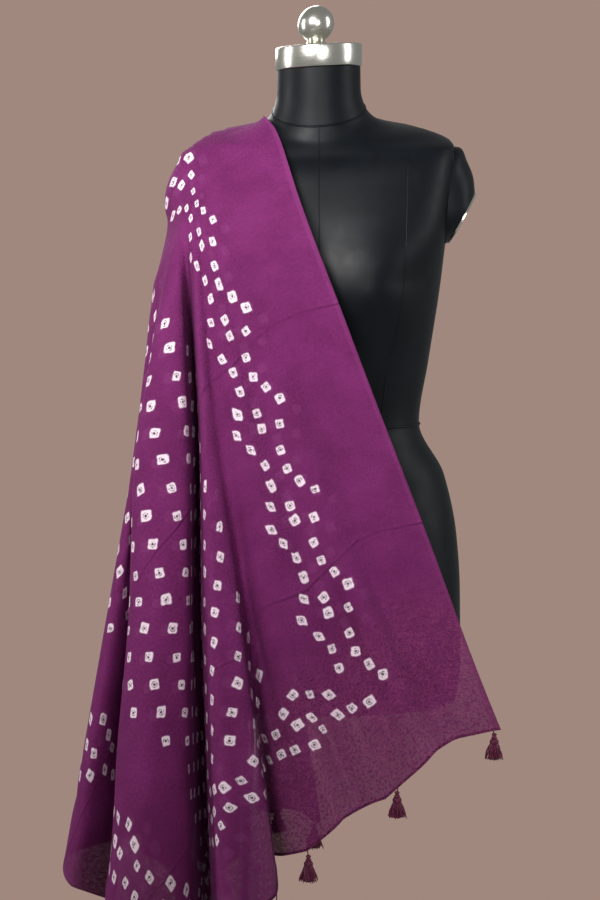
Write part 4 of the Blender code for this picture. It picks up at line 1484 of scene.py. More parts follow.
HULL = (
    Hull(-90.0, 117.0, -1.0),
    Hull(-7.8, 28.7, -1.0),
    Hull(12.0, 13.5, -1.0),
    Hull(32.0, 3.0, -0.97),
    Hull(50.0, -5.0, -0.85),
    Hull(65.0, -8.8, -0.52),
    Hull(80.0, -9.9, -0.10),
    Hull(95.0, -9.6, 0.35),
    Hull(112.0, -7.6, 0.75),
    Hull(132.0, -3.0, 0.97),
    Hull(158.0, 4.0, 1.0),
    Hull(186.8, 10.6, 1.0),
    Hull(270.0, 117.0, 1.0),
)
FOLDS = (
    Fold("selvedge", 0.2060, -0.138),
    Fold("front flat", 0.161, -0.148),
    Fold("front wave", 0.112, -0.172),
    Fold("front hollow", 0.054, -0.160),
    Fold("front roll", 0.000, -0.190),
    Fold("front roll end", -0.036, -0.186),
    Fold("first valley wall", -0.052, -0.166),
    Fold("first valley", -0.060, -0.150),
    Fold("first valley back", -0.068, -0.168),
    Fold("tube right", -0.081, -0.200),
    Fold("tube left", -0.114, -0.208),
    Fold("tube turn", -0.136, -0.160),
    Fold("second valley wall", -0.144, -0.095),
    Fold("second valley", -0.152, -0.050),
    Fold("second valley back", -0.160, -0.095),
    Fold("panel right", -0.172, -0.162),
    Fold("panel middle", -0.212, -0.176),
    Fold("panel left", -0.248, -0.146),
    Fold("panel tuck", -0.256, -0.100),
    Fold("third valley", -0.246, -0.052),
    Fold("third valley turn", -0.256, -0.037),
    Fold("lobe start", -0.272, -0.056),
    Fold("lobe front", -0.292, -0.082),
    Fold("lobe outer", -0.306, -0.062),
    Fold("lobe back", -0.304, -0.030),
    Fold("side valley", -0.214, -0.018),
    Fold("side turn", -0.212, 0.006),
    Fold("side roll front", -0.300, 0.008),
    Fold("side roll back", -0.306, 0.038),
    Fold("rear side valley", -0.214, 0.044),
    Fold("rear side turn", -0.210, 0.064),
    Fold("rear corner front", -0.294, 0.082),
    Fold("rear corner", -0.294, 0.118),
    Fold("back valley 1", -0.202, 0.086),
    Fold("back valley 1 turn", -0.188, 0.094),
    Fold("back roll 1", -0.236, 0.192),
    Fold("back roll 1 end", -0.212, 0.216),
    Fold("back valley 2", -0.162, 0.098),
    Fold("back valley 2 turn", -0.147, 0.100),
    Fold("back roll 2", -0.178, 0.214),
    Fold("back roll 2 end", -0.152, 0.224),
    Fold("back valley 3", -0.121, 0.116),
    Fold("back valley 3 turn", -0.107, 0.118),
    Fold("back roll 3", -0.124, 0.216),
    Fold("back roll 3 end", -0.098, 0.222),
    Fold("back valley 4", -0.080, 0.126),
    Fold("back valley 4 turn", -0.067, 0.127),
    Fold("back roll 4", -0.074, 0.206),
    Fold("back roll 4 end", -0.048, 0.206),
    Fold("back selvedge", -0.030, 0.165),
)
BEND_DISTANCES = (0.145, 0.30, 0.43, 0.63, 0.80, 0.95)
BENDS = (
    Bend("selvedge", (0, 0.008, 0.007, 0.005, 0, 0)),
    Bend("front flat", (0, 0.006, 0.005, 0.003, 0, 0)),
    Bend("front wave", (0, 0.003, 0.002, 0, 0, 0)),
    Bend("front roll end", (0, 0, 0, 0, -0.002, -0.004), (0, 0, 0, 0, 0.006, 0.010)),
    Bend("first valley wall", (0, 0, 0, 0, -0.004, -0.008), (0, -0.003, -0.006, 0, 0.014, 0.020)),
    Bend("first valley", (0, -0.002, -0.003, 0, -0.006, -0.011), (0, -0.006, -0.012, -0.004, 0.020, 0.030)),
    Bend("first valley back", (0, -0.003, -0.005, 0, -0.001, 0.001), (0, -0.002, -0.005, 0, 0.014, 0.018)),
    Bend("tube right", (0, -0.003, -0.005, 0, 0.005, 0.010), (0, 0, 0, 0, 0, -0.002)),
    Bend("tube turn", (0, 0.002, 0.003, 0, 0, 0), (0, 0.008, 0.010, 0.004, 0, 0)),
    Bend("second valley wall", (0, 0.003, 0.004, 0, 0, 0), (0, 0.028, 0.028, 0.014, 0, 0)),
    Bend("second valley", (0, 0.004, 0.005, 0, 0, 0), (0, 0.042, 0.040, 0.020, 0, 0)),
    Bend("second valley back", (0, 0.003, 0.005, 0, 0, 0), (0, 0.020, 0.018, 0.008, 0, 0)),
    Bend("panel right", (0, 0.003, 0.005, 0.003, 0, 0)),
    Bend("panel left", (0, -0.008, -0.014, -0.005, -0.005, 0)),
    Bend("panel tuck", (0, -0.012, -0.021, -0.009, -0.006, 0)),
    Bend("third valley", (0, -0.012, -0.021, -0.009, -0.008, -0.005)),
    Bend("third valley turn", (0, -0.010, -0.018, -0.007, -0.006, -0.002)),
    Bend("lobe start", (0, -0.004, -0.008, -0.002, 0, 0)),
)
CREASES = (
    Crease((0.062, -0.010), (0.092, 0.300), 0.0120, 0.0060),
    Crease((0.100, -0.010), (0.120, 0.300), 0.0140, -0.0030),
    Crease((0.140, -0.010), (0.150, 0.330), 0.0110, 0.0058),
    Crease((0.182, -0.010), (0.184, 0.300), 0.0130, -0.0030),
    Crease((0.225, -0.010), (0.218, 0.330), 0.0120, 0.0055),
    Crease((0.262, -0.010), (0.252, 0.300), 0.0120, -0.0030),
    Crease((0.040, 0.420), (0.070, 0.600), 0.0140, 0.0016),
    Crease((0.090, 0.380), (0.120, 0.560), 0.0150, -0.0016),
    Crease((0.200, 0.420), (0.230, 0.640), 0.0120, 0.0018),
    Crease((0.050, 0.680), (0.110, 0.860), 0.0140, -0.0014),
    Crease((0.140, 0.640), (0.160, 0.820), 0.0120, 0.0014),
    Crease((0.300, -0.010), (0.285, 0.380), 0.0110, 0.0045),
    Crease((0.560, 0.240), (0.520, 0.480), 0.0080, 0.0016),
    Crease((0.610, 0.220), (0.560, 0.520), 0.0090, -0.0016),
    Crease((0.700, 0.260), (0.640, 0.500), 0.0100, 0.0018),
    Crease((0.880, 0.100), (0.800, 0.500), 0.0100, 0.0020),
    Crease((0.940, 0.200), (0.860, 0.620), 0.0090, -0.0018),
    Crease((0.960, 0.520), (0.840, 0.800), 0.0120, 0.0018),
    Crease((0.930, 0.900), (0.760, 0.980), 0.0120, 0.0016),
    Crease((0.900, 1.250), (0.780, 1.060), 0.0110, -0.0018),
    Crease((0.700, 1.560), (0.600, 1.220), 0.0100, 0.0018),
    Crease((0.560, 1.800), (0.500, 1.380), 0.0100, -0.0018),
    Crease((0.420, 1.840), (0.380, 1.400), 0.0090, 0.0020),
    Crease((0.300, 1.850), (0.270, 1.450), 0.0110, 0.0020),
    Crease((0.220, 1.860), (0.210, 1.360), 0.0090, -0.0020),
    Crease((0.130, 1.860), (0.130, 1.300), 0.0100, 0.0022),
    Crease((0.060, 1.850), (0.080, 1.340), 0.0100, -0.0016),
)
HANG = (
    Hang(0.0, 0.0, 0.0),
    Hang(0.02, 0.0180, 0.0180),
    Hang(0.04, 0.0350, 0.0345),
    Hang(0.07, 0.0590, 0.0570),
    Hang(0.11, 0.0880, 0.0810),
    Hang(0.16, 0.1200, 0.1040),
    Hang(0.21, 0.1400, 0.1170),
    Hang(0.27, 0.1490, 0.1240),
    Hang(0.35, 0.1520, 0.1290),
    Hang(0.50, 0.1540, 0.1400),
    Hang(0.80, 0.1580, 0.1620),
    Hang(1.50, 0.1650, 0.1750),
)
SWELL = (
    Swell(0.06, 0.0),
    Swell(0.12, 0.012),
    Swell(0.17, 0.016),
    Swell(0.22, 0.014),
    Swell(0.28, 0.010),
    Swell(0.35, 0.005),
    Swell(0.45, 0.0),
)
FRONT_DROP = (
    Drop(0.0, 0.889),
    Drop(0.055, 0.883),
    Drop(0.09, 0.887),
    Drop(0.13, 0.905),
    Drop(0.18, 0.926),
    Drop(0.25, 0.926),
    Drop(0.31, 0.950),
    Drop(0.42, 0.950),
    Drop(0.60, 0.962),
    Drop(1.0, 0.975),
)


@dataclass
class StoleShape:
    """Where each point of the flat cloth lies in space."""

    form: FormShape
    width: float = Cut.width
    length: float = Cut.length
    clearance: float = 0.0055
    apex: tuple = (-0.1700, 0.0, 1.4700)
    apex_u: float = 0.120
    reference: float = 0.800
    reference_view: float = 0.790
    ridge: float = 117.0
    fold_start: float = 0.145
    fold_softness: float = 0.05
    fold_fade: float = 40.0
    least_fall: float = 0.25
    even_within: float = 0.17
    even_fade: float = 0.08
    strip_fade: float = 12.0
    fold_samples: int = 24
    reach: float = 1.45
    reach_steps: int = 240
    angle_steps: int = 1441
    crease_lead: float = 0.02
    lay_back_every: int = 20

    def drop(self, u: Array) -> Array:
        """How far the front end lies from the shoulder line, at u."""
        return np.interp(u / self.width, column(FRONT_DROP, "share"), column(FRONT_DROP, "drop"))

    def polar(self, u: Array, s: Array) -> tuple[Array, Array]:
        """A point of the flat cloth as its angle round the apex, from -90 to 270 degrees, and its distance.

        Args:
            u: Distance from the neck's selvedge.
            s: Distance from the front end.

        Returns:
            Angles and distances, in the grid of u.
        """
        v = self.drop(u) - s
        angle = np.degrees(np.arctan2(u - self.apex_u, v))
        return np.where(angle < -90, angle + 360, angle), np.hypot(u - self.apex_u, v)

    def edge_angle(self, end: End) -> float:
        """Angle of the ruling that ends in the corner beside the neck's selvedge.

        Args:
            end: Which end of the cloth.

        Returns:
            The angle, in degrees.
        """
        drop = FRONT_DROP[0].drop - (0.0 if end is End.FRONT else self.length)
        angle = math.degrees(math.atan2(-self.apex_u, drop))
        return angle if end is End.FRONT else angle % 360

    def fold_curve(self) -> tuple[Array, Array]:
        """The fold table as a smooth curve: a centripetal Catmull-Rom spline, spread over the angles.

        Returns:
            Angle of each dense sample, and its x, y and bends, one column each.
        """
        names = [row.name for row in FOLDS]
        bends = np.zeros((len(FOLDS), 2 * len(BEND_DISTANCES)))
        for bend in BENDS:
            bends[names.index(bend.name)] = (*bend.x, *bend.y)
        p = np.column_stack([column(FOLDS, "x"), column(FOLDS, "y"), bends])
        ghost = np.vstack([2 * p[0] - p[1], p, 2 * p[-1] - p[-2]])
        steps = np.linalg.norm(np.diff(ghost[:, :2], axis=0), axis=1)
        knots = np.concatenate([[0], np.cumsum(np.sqrt(steps))])
        t0, t1, t2, t3 = (knots[k : len(knots) - 3 + k, None, None] for k in range(4))
        g0, g1, g2, g3 = (ghost[k : len(ghost) - 3 + k, None, :] for k in range(4))
        t = t1 + (t2 - t1) * (np.arange(self.fold_samples) / self.fold_samples)[None, :, None]
        a1 = (t1 - t) / (t1 - t0) * g0 + (t - t0) / (t1 - t0) * g1
        a2 = (t2 - t) / (t2 - t1) * g1 + (t - t1) / (t2 - t1) * g2
        a3 = (t3 - t) / (t3 - t2) * g2 + (t - t2) / (t3 - t2) * g3
        b1 = (t2 - t) / (t2 - t0) * a1 + (t - t0) / (t2 - t0) * a2
        b2 = (t3 - t) / (t3 - t1) * a2 + (t - t1) / (t3 - t1) * a3
        curve = ((t2 - t) / (t2 - t1) * b1 + (t - t1) / (t2 - t1) * b2).reshape(-1, p.shape[1])
        curve = np.vstack([curve, p[-1:]])
        run = np.concatenate([[0], np.cumsum(np.linalg.norm(np.diff(curve[:, :2], axis=0), axis=1))])
        start, end = self.edge_angle(End.FRONT), self.edge_angle(End.BACK)
        return start + (end - start) * run / run[-1], curve

    def bend_shares(self, r: Array) -> Array:
        """How much of the bend at each of the bend distances counts at r: a cubic through them.

        Args:
            r: Distances from the apex.

        Returns:
            The shares, one more axis than r.
        """
        at = np.array(BEND_DISTANCES)
        one = np.eye(len(at))
        slope = np.zeros_like(one)
        slope[1:-1] = (one[2:] - one[:-2]) / (at[2:] - at[:-2])[:, None]
        x = np.clip(r, at[0], at[-1])
        k = np.clip(np.searchsorted(at, x, side="right") - 1, 0, len(at) - 2)
        gap = at[k + 1] - at[k]
        return hermite(((x - at[k]) / gap)[..., None], gap[..., None], k, one, slope)

    def growth(self, r: Array) -> Array:
        """How deep a fold is at a distance, as a share of its depth at the reference.

        It is half of d plus the root of d squared plus softness squared, where d is the distance past the
        fold's start: nearly nought up to there, and nearly straight after it.

        Args:
            r: Distances from the apex.

        Returns:
            The shares.
        """
        d, full = r - self.fold_start, self.reference - self.fold_start
        rest = 0.5 * (-self.fold_start + math.hypot(self.fold_start, self.fold_softness))
        whole = 0.5 * (full + math.hypot(full, self.fold_softness)) - rest
        return (0.5 * (d + np.sqrt(d * d + self.fold_softness**2)) - rest) / whole

    def place(self, u: Array, s: Array) -> Array:
        """Where points of the flat cloth lie.

        A point's distance r and angle round the apex give a ruling. Along it the cloth runs partly along the
        shoulder ridge and partly down; what it hangs out by in depth is taken off the downward run.

        Args:
            u: Distance from the neck's selvedge.
            s: Distance from the front end.

        Returns:
            Positions, in the grid of u by 3.
        """
        angle, r = self.polar(u, s)
        grid_angle = np.linspace(-90, 270, self.angle_steps)
        grid_r = np.linspace(0, self.reach, self.reach_steps)
        shift, bends, bearing, side, below = self.ruling(grid_angle)
        levels = len(BEND_DISTANCES)
        fall = grid_r[None, :] * below[:, None]
        y = self.hull_depth(fall, side[:, None]) + shift[:, 1:] * self.growth(grid_r)[None, :]
        y = y + bends[:, levels:] @ self.bend_shares(grid_r).T
        dr, dy = np.diff(grid_r)[None, :], np.diff(y, axis=1)
        run_down = (below[:, None] * dr) ** 2
        sunk = np.sqrt(np.maximum(run_down - dy**2, self.least_fall**2 * run_down))
        sunk = np.concatenate([np.zeros((len(grid_angle), 1)), np.cumsum(sunk, axis=1)], axis=1)
        a = (angle + 90) / 360 * (len(grid_angle) - 1)
        b = r / grid_r[-1] * (len(grid_r) - 1)
        i, j = np.clip(a.astype(int), 0, len(grid_angle) - 2), np.clip(b.astype(int), 0, len(grid_r) - 2)
        fa, fb = a - i, b - j
        down = (sunk[i, j] * (1 - fa) + sunk[i + 1, j] * fa) * (1 - fb)
        down = down + (sunk[i, j + 1] * (1 - fa) + sunk[i + 1, j + 1] * fa) * fb
        shift, bends, bearing, side, below = self.ruling(angle)
        shares = self.bend_shares(r)
        ridge = math.radians(self.ridge)
        run = r * np.maximum(np.cos(ridge - bearing), 0)
        drift = np.minimum(bearing, ridge - math.pi / 2)
        swell = np.interp(r, column(SWELL, "distance"), column(SWELL, "out")) * (1 - side**2)
        growth = self.growth(r)
        x = self.apex[0] + run * math.sin(ridge) + down * np.sin(drift) + shift[..., 0] * growth - swell
        x = x + (bends[..., :levels] * shares).sum(-1)
        y = self.apex[1] + self.hull_depth(r * below, side) + shift[..., 1] * growth
        y = y + (bends[..., levels:] * shares).sum(-1)
        z = self.apex[2] - run * math.cos(ridge) - down * np.cos(drift)
        return np.stack([x, y, z], -1)

    def hull_depth(self, fall: Array, side: Array) -> Array:
        """How far out the cloth hangs without folds.

        Args:
            fall: How far below the shoulder ridge.
            side: Which side of the body, -1 in front and 1 behind.

        Returns:
            The distances, negative in front.
        """
        falls = column(HANG, "fall")
        front = monotone(falls, column(HANG, "front"), fall)
        back = monotone(falls, column(HANG, "back"), fall)
        return np.where(side < 0, front, back) * side

    def ruling(self, angle: Array) -> tuple[Array, Array, Array, Array, Array]:
        """What holds along the whole ruling at an angle.

        Args:
            angle: Angles round the apex, in degrees.

        Returns:
            Fold shifts in x and y, bends in x and y at the bend distances, bearing, side, and share of fall.
        """
        fold_angle, curve = self.fold_curve()
        at = np.stack([np.interp(angle, fold_angle, curve[:, k]) for k in range(curve.shape[1])], -1)
        angles = column(HULL, "angle")
        bearing = np.radians(monotone(angles, column(HULL, "bearing"), angle))
        side = monotone(angles, column(HULL, "side"), angle)
        below = np.sin(np.clip(math.radians(self.ridge) - bearing, 0, math.pi / 2))
        hanging = (angle >= fold_angle[0]) & (angle <= fold_angle[-1])
        level = self.hull_depth(np.full(np.shape(angle), self.reference), side)
        beyond = np.maximum(fold_angle[0] - angle, angle - fold_angle[-1])
        fade = 1 - np.clip(beyond / self.fold_fade, 0, 1)
        shift_x = (at[..., 0] - self.apex[0] - self.reference_view * np.sin(bearing)) * hanging
        shift_y = (at[..., 1] - level) * fade
        return np.stack([shift_x, shift_y], -1), at[..., 2:] * fade[..., None], bearing, side, below

    def creases(self, u: Array, s: Array) -> Array:
        """Height of the creases at points of the flat cloth.

        Each is a ridge of height x exp(-(distance / width) squared) that rises and dies out over its end
        thirds.

        Args:
            u: Distance from the neck's selvedge.
            s: Distance from the front end.

        Returns:
            Heights along the outer face's normal.
        """
        total = np.zeros_like(u)
        for crease in CREASES:
            (u0, s0), (u1, s1) = crease.start, crease.stop
            length = math.hypot(u1 - u0, s1 - s0)
            along = ((u - u0) * (u1 - u0) + (s - s0) * (s1 - s0)) / length
            aside = ((u - u0) * (s1 - s0) - (s - s0) * (u1 - u0)) / length
            starts = ease(along, -self.crease_lead, length / 3)
            ends = starts * ease(-along, -length - self.crease_lead, -2 * length / 3)
            total += crease.height * ends * np.exp(-((aside / crease.width) ** 2))
        return total

    def even_out(self, points: Array, u: Array, s: Array, passes: int = 60) -> Array:
        """Evens the cloth out on the shoulder and beside the neck, and lays it back on the form.

        Each point moves halfway to the mean of its four neighbours, less and less away from the apex.

        Args:
            points: Grid by 3.
            u: Distance from the neck's selvedge.
            s: Distance from the front end.
            passes: How often.

        Returns:
            The points, evened out.
        """
        angle, r = self.polar(u, s)
        beyond = np.maximum(self.edge_angle(End.FRONT) - angle, angle - self.edge_angle(End.BACK))
        loose = np.maximum((self.even_within - r) / self.even_fade, beyond / self.strip_fade)
        loose = np.clip(loose, 0, 1)[..., None] * 0.5
        for k in range(passes):
            mean = points.copy()
            beside = points[2:, 1:-1] + points[:-2, 1:-1]
            mean[1:-1, 1:-1] = 0.25 * (beside + points[1:-1, 2:] + points[1:-1, :-2])
            mean[0, 1:-1] = 0.5 * (points[0, 2:] + points[0, :-2])
            points = points + loose * (mean - points)
            if (k + 1) % self.lay_back_every == 0:
                points = self.form.clear(points, self.clearance).reshape(points.shape)
        return points


@dataclass
class Tassel:
    """A tassel: two small knots, a bound head and a skirt of loose strands.

    Profiles hold height above the tassel's top, and radius. A ripple is that share of the radius. The cloth
    is given as its points.
    """

    end: End
    number: int
    thread: bpy.types.Material
    cloth: Array
    sides: int = 28
    tie_radius: float = 0.0008
    tie_points: int = 4
    tie_sides: int = 6
    tie_sunk: float = 0.002
    tie_aside: tuple = (1.0, 0.37, 0.0)
    head: tuple = (
        (-0.0148, 0.0046), (-0.0140, 0.0052), (-0.0124, 0.0056), (-0.0104, 0.0054), (-0.0086, 0.0044),
        (-0.0078, 0.0030), (-0.0070, 0.0036), (-0.0058, 0.0035), (-0.0048, 0.0023), (-0.0042, 0.0018),
        (-0.0032, 0.0030), (-0.0018, 0.0031), (-0.0006, 0.0022), (0.0, 0.0007),
    )
    head_ripples: int = 14
    head_ripple: float = 0.05
    core: tuple = (
        (-0.0335, 0.0066), (-0.0290, 0.0070), (-0.0230, 0.0060), (-0.0180, 0.0046), (-0.0146, 0.0034),
    )
    core_ripples: int = 9
    core_ripple: float = 0.10
    strands: int = 60
    steps: int = 9
    golden_angle: float = 2.39996
    skirt_drop: float = 0.0135
    skirt_radius: float = 0.0040
    flare: float = 0.0085
    twist: float = 0.25
    wave: float = 0.0009
    strand_radius: float = 0.0010
    strand_taper: float = 0.40
    flare_range: tuple = (0.70, 1.15)
    length_range: tuple = (0.88, 1.0)
    wave_range: tuple = (4, 8)
    width_range: tuple = (0.8, 1.15)
    back_seed: int = 50

    def rippled(self, profile: tuple, ripples: int, height: float, phase: float) -> Array:
        """Rings of a turned piece whose radius is scaled by 1 + height x cos(ripples x turn + phase).

        Args:
            profile: Level and radius of each ring, lowest first.
            ripples: How many ripples go round.
            height: Share of the radius that a ripple adds.
            phase: Where they start, in radians.

        Returns:
            Rings by sides by 3, with the tassel's top at the origin.
        """
        rings = lathe(profile, self.sides)
        turn = np.arange(self.sides) * 2 * math.pi / self.sides
        rings[..., :2] *= (1 + height * np.cos(ripples * turn + phase))[:, None]
        return rings

    def tie(self, mesh: Mesh, top: Array) -> None:
        """The thread that ties the tassel to the nearest point of the cloth.

        Args:
            mesh: The mesh that it is added to.
            top: The tassel's top.
        """
        held = self.cloth[np.argmin(np.linalg.norm(self.cloth - top, axis=1))]
        start = top - np.array((0.0, 0.0, self.tie_sunk))
        path = start + np.linspace(0, 1, self.tie_points)[:, None] * (held - start)
        aside = np.broadcast_to(np.cross(held - start, self.tie_aside), path.shape)
        mesh.loft(tube(path, np.full(len(path), self.tie_radius), self.tie_sides, aside)[:, ::-1])

    def skirt(self, mesh: Mesh, top: Array, fall: float) -> None:
        """The loose strands, four-sided tubes on a spiral of starting points.

        A strand's middle line leaves the head's rim and swings out by flare x t x (1.6 - 0.6t), with a slow
        wave, where t goes from 0 at its root to 1 at its tip.

        Args:
            mesh: The mesh that they are added to.
            top: The tassel's top.
            fall: How far the longest strand hangs below the skirt's top.
        """
        rng = np.random.default_rng(self.number + (0 if self.end is End.FRONT else self.back_seed))
        count = (self.strands, 1)
        t = np.linspace(0, 1, self.steps)[None, :]
        around = (np.arange(self.strands) * self.golden_angle + rng.uniform(0, 6))[:, None]
        ringed = np.sqrt((np.arange(self.strands) + 0.5) / self.strands)[:, None]
        flare = self.flare * ringed * rng.uniform(*self.flare_range, count)
        length = fall * rng.uniform(*self.length_range, count)
        wave = self.wave * np.sin(t * rng.uniform(*self.wave_range, count) + rng.uniform(0, 6, count)) * t
        out = self.skirt_radius * ringed + flare * t * (1.6 - 0.6 * t)
        x = top[0] + out * np.cos(around + self.twist * t) + wave
        y = top[1] + out * np.sin(around + self.twist * t) - wave
        z = top[2] - self.skirt_drop - length * t
        radius = self.strand_radius * (1 - self.strand_taper * t**3) * rng.uniform(*self.width_range, count)
        outward = np.stack([np.cos(around) + 0 * t, np.sin(around) + 0 * t, 0 * (around + t)], -1)
        index = mesh.add_points(tube(np.stack([x, y, z], -1), radius, 4, outward))
        quads = np.stack([index, np.roll(index, -1, axis=2)], -1)
        near, far = quads[:, :-1], quads[:, 1:]
        faces = np.stack([near[..., 0], near[..., 1], far[..., 1], far[..., 0]], -1)
        mesh.faces.append(faces.reshape(-1, 4))
        mesh.cap(index[:, 0], turned=True)
        mesh.cap(index[:, -1])

    def build(self) -> bpy.types.Object:
        """Builds the tassel where its CAD node hangs.

        Returns:
            The piece.
        """
        node = f"tassel_{self.end.value}_{self.number}"
        low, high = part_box(node)
        top = np.array(((low.x + high.x) / 2, (low.y + high.y) / 2, high.z))
        mesh = Mesh()
        mesh.loft(self.rippled(self.head, self.head_ripples, self.head_ripple, 0.0) + top)
        mesh.loft(self.rippled(self.core, self.core_ripples, self.core_ripple, self.number) + top)
        self.skirt(mesh, top, high.z - low.z - self.skirt_drop)
        self.tie(mesh, top)
        piece = mesh.build(f"stole_{node}", self.thread, Slot.TASSEL, 60.0)
        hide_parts(node)
        return piece


@dataclass
class Stole:
    """The stole itself: one sheet with turned hems, and its tassels."""

    shape: StoleShape
    cloth: bpy.types.Material
    thread: bpy.types.Material
    across: int = 142
    along: int = 262
    thick: float = 0.0005
    steepest: float = 0.50
    hem_thick: float = 0.0012
    end_hem_thick: float = 0.0020
    hem: float = Cut.side_hem
    end_hem: float = Cut.end_hem
    hem_line: float = 0.0012
    tassels_an_end: int = 7

    def lines(self, span: float, hem: float, count: int) -> Array:
        """Positions of grid lines, close together at each hem: its edge, its inner line and one just past it.

        Args:
            span: The cloth's width or length.
            hem: How wide the hems at its two ends are.
            count: How many lines.

        Returns:
            The positions.
        """
        inner = np.linspace(hem + self.hem_line, span - hem - self.hem_line, count - 4)
        return np.concatenate([[0.0, hem], inner, [span - hem, span]])

    def thickness(self, u: Array, s: Array) -> Array:
        """How thick the sheet is: doubled along the selvedges, rolled at the ends.

        Args:
            u: Distance from the neck's selvedge.
            s: Distance from the front end.

        Returns:
            The thicknesses.
        """
        shape = self.shape
        beside = np.minimum(u, shape.width - u)
        ahead = np.minimum(s, shape.length - s)
        thick = np.where(beside <= self.hem + 1e-6, self.hem_thick, self.thick)
        return np.where(ahead <= self.end_hem + 1e-6, self.end_hem_thick, thick)

    def grid(self) -> tuple[Array, Array, Array]:
        """Lays a grid of the flat cloth on the form.

        Returns:
            u, s and the place of every grid point.
        """
        shape = self.shape
        u, s = np.meshgrid(
            self.lines(shape.width, self.hem, self.across),
            self.lines(shape.length, self.end_hem, self.along),
            indexing="ij",
        )
        points = shape.place(u, s)
        points = shape.form.clear(points, shape.clearance).reshape(points.shape)
        points = shape.even_out(points, u, s)
        return u, s, points

    def sheet(self) -> bpy.types.Object:
        """The cloth as a thin shell: its middle surface moved out and in by half its thickness.

        Returns:
            The piece.
        """
        u, s, points = self.grid()
        normal = unit(np.cross(np.gradient(points, axis=0), np.gradient(points, axis=1)))
        height = self.shape.creases(u, s)
        points = points + normal * height[..., None]
        # The slant of the crease flanks is kept on the points; the cloth's finish darkens them with painted
        # shade.
        slope = np.hypot(np.gradient(height, u[:, 0], axis=0), np.gradient(height, s[0], axis=1))
        slant = np.clip(slope / self.steepest, 0, 1)
        half = self.thickness(u, s)[..., None] / 2
        flat = np.stack([u, s], -1)
        mesh = Mesh()
        first = mesh.add_points(points + normal * half, flat, slant)
        second = mesh.add_points(points - normal * half, flat, slant)
        mesh.join(first)
        mesh.join(second, turned=True)
        for edge in (0, -1):
            turned = edge == 0
            mesh.join(np.stack([first[edge], second[edge]]), turned=not turned)
            mesh.join(np.stack([first[:, edge], second[:, edge]]), turned=turned)
        piece = mesh.build("stole_sheet", self.cloth, Slot.STOLE, 180.0)
        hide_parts("stole_front", "stole_back")
        return piece

    def build(self) -> None:
        """Builds the sheet and its tassels."""
        sheet = self.sheet()
        cloth = np.array([tuple(vertex.co) for vertex in sheet.data.vertices])
        numbers = range(1, self.tassels_an_end + 1)
        tassels = [Tassel(end, number, self.thread, cloth).build() for end in End for number in numbers]


# ---- studio -----------------------------------------------------------------
class Panel(NamedTuple):
    """A soft light: where it hangs, the point it is turned to, its width and height, its power and colour."""

    name: str
    place: tuple
    target: tuple
    size: tuple
    watts: float
    spread: float
    colour: tuple


PANELS = (
    Panel("key_panel", (-0.9, -2.1, 2.40), (0.12, 0.0, 1.47), (0.9, 0.9), 6.2, 46.0, (1.0, 0.98, 0.97)),
    Panel("front_panel", (0.5, -2.9, 1.75), (0.0, 0.0, 1.42), (0.8, 1.2), 1.9, 44.0, (1.0, 0.99, 0.98)),
    Panel("side_panel", (2.4, -0.3, 1.9), (0.0, 0.0, 1.15), (0.6, 1.8), 16.0, 180.0, (0.97, 0.98, 1.0)),
    Panel("back_panel", (-0.8, 2.6, 2.4), (0.0, 0.0, 1.15), (1.8, 1.4), 44.0, 180.0, (1.0, 0.98, 0.97)),
    Panel("left_panel", (-2.6, 0.0, 1.6), (0.0, 0.0, 0.90), (0.6, 1.8), 10.0, 110.0, (1.0, 0.98, 0.97)),
)


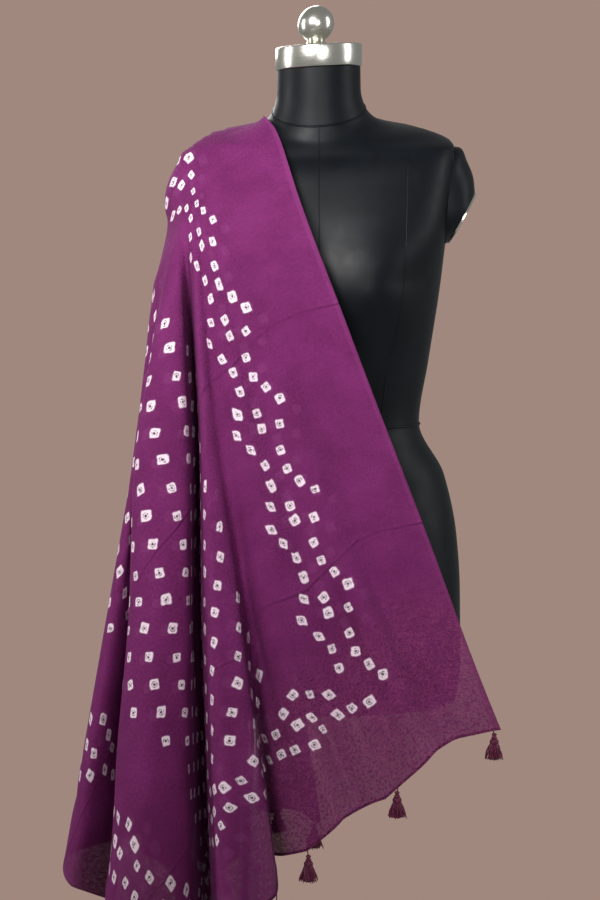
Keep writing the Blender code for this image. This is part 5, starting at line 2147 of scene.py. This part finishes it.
@dataclass
class Studio:
    """Floor, backdrop colour, soft lights and the camera."""

    backdrop: tuple = rgba(160, 136, 126)
    fill: tuple = (0.085, 0.070, 0.068, 1.0)
    mirrored: tuple = (0.230, 0.234, 0.232, 1.0)
    floor_radius: float = 1.50
    floor_profile: tuple = ((-0.012, 0.995), (-0.002, 1.0), (0.0, 0.998))
    floor_sides: int = 128
    eye: tuple = (-0.0243, -3.200, 1.400)
    look: tuple = (-0.0243, 0.0, 1.081)
    view_height: float = 1.184
    sensor: float = 36.0

    def floor(self) -> None:
        """A round floor just under the foot."""
        profile = [(level, self.floor_radius * share) for level, share in self.floor_profile]
        mesh = Mesh().loft(lathe(profile, self.floor_sides))
        points = np.concatenate(mesh.points)
        data = bpy.data.meshes.new("floor")
        faces = [list(map(int, f)) for group in mesh.faces for f in group]
        data.from_pydata(points.tolist(), [], faces)
        data.materials.append(FloorPaint().material())
        floor = bpy.data.objects.new("floor", data)
        bpy.context.scene.collection.objects.link(floor)

    def world(self) -> None:
        """An even backdrop colour to the camera, and the light of a neutral studio to the pieces."""
        world = bpy.data.worlds.new("studio_backdrop")
        world.use_nodes = True
        board = Board(world.node_tree)
        seen = board.wire("ShaderNodeLightPath", "Is Camera Ray")
        mirrored = board.wire("ShaderNodeLightPath", "Is Glossy Ray")
        colour = board.colour(seen, board.colour(mirrored, self.fill, self.mirrored), self.backdrop)
        light = board.wire("ShaderNodeBackground", 0, {"Color": colour, "Strength": 1.0})
        board.add("ShaderNodeOutputWorld", {"Surface": light})
        bpy.context.scene.world = world

    def lights(self) -> None:
        """Large soft panels round the form."""
        for panel in PANELS:
            data = bpy.data.lights.new(panel.name, "AREA")
            data.shape = "RECTANGLE"
            data.size, data.size_y = panel.size
            data.energy = panel.watts
            data.color = panel.colour
            data.spread = math.radians(panel.spread)
            light = bpy.data.objects.new(panel.name, data)
            bpy.context.scene.collection.objects.link(light)
            self.aim(light, np.array(panel.place), np.array(panel.target))

    @staticmethod
    def aim(thing: bpy.types.Object, place: Array, target: Array) -> None:
        """Puts a light or camera at a place and turns it to a target."""
        thing.location = tuple(place)
        thing.rotation_euler = Vector(tuple(target - place)).to_track_quat("-Z", "Y").to_euler()

    def camera(self) -> None:
        """A long lens in front, a little above the middle of the form."""
        data = bpy.data.cameras.new("front_camera")
        data.sensor_width = self.sensor
        data.lens = self.sensor * math.dist(self.eye, self.look) / self.view_height
        data.clip_end = 50.0
        camera = bpy.data.objects.new("front_camera", data)
        bpy.context.scene.collection.objects.link(camera)
        self.aim(camera, np.array(self.eye), np.array(self.look))
        bpy.context.scene.camera = camera

    def build(self) -> None:
        """Sets up the studio."""
        self.floor()
        self.world()
        self.lights()
        self.camera()
        bpy.context.scene.view_settings.view_transform = "Standard"


def main() -> None:
    """Builds the studio, the form, the stand and the stole, in that order."""
    logging.basicConfig(level=logging.INFO, format="%(name)s %(message)s")
    Studio().build()
    form = FormShape()
    DressForm(form, FormCover().material(), Chrome("form_chrome").material()).build()
    Stand(Chrome("stand_chrome", least_roughness=0.13).material(), form.bottom).build()
    Stole(StoleShape(form), StoleCloth().material(), Thread().material()).build()


if __name__ == "__main__":
    main()
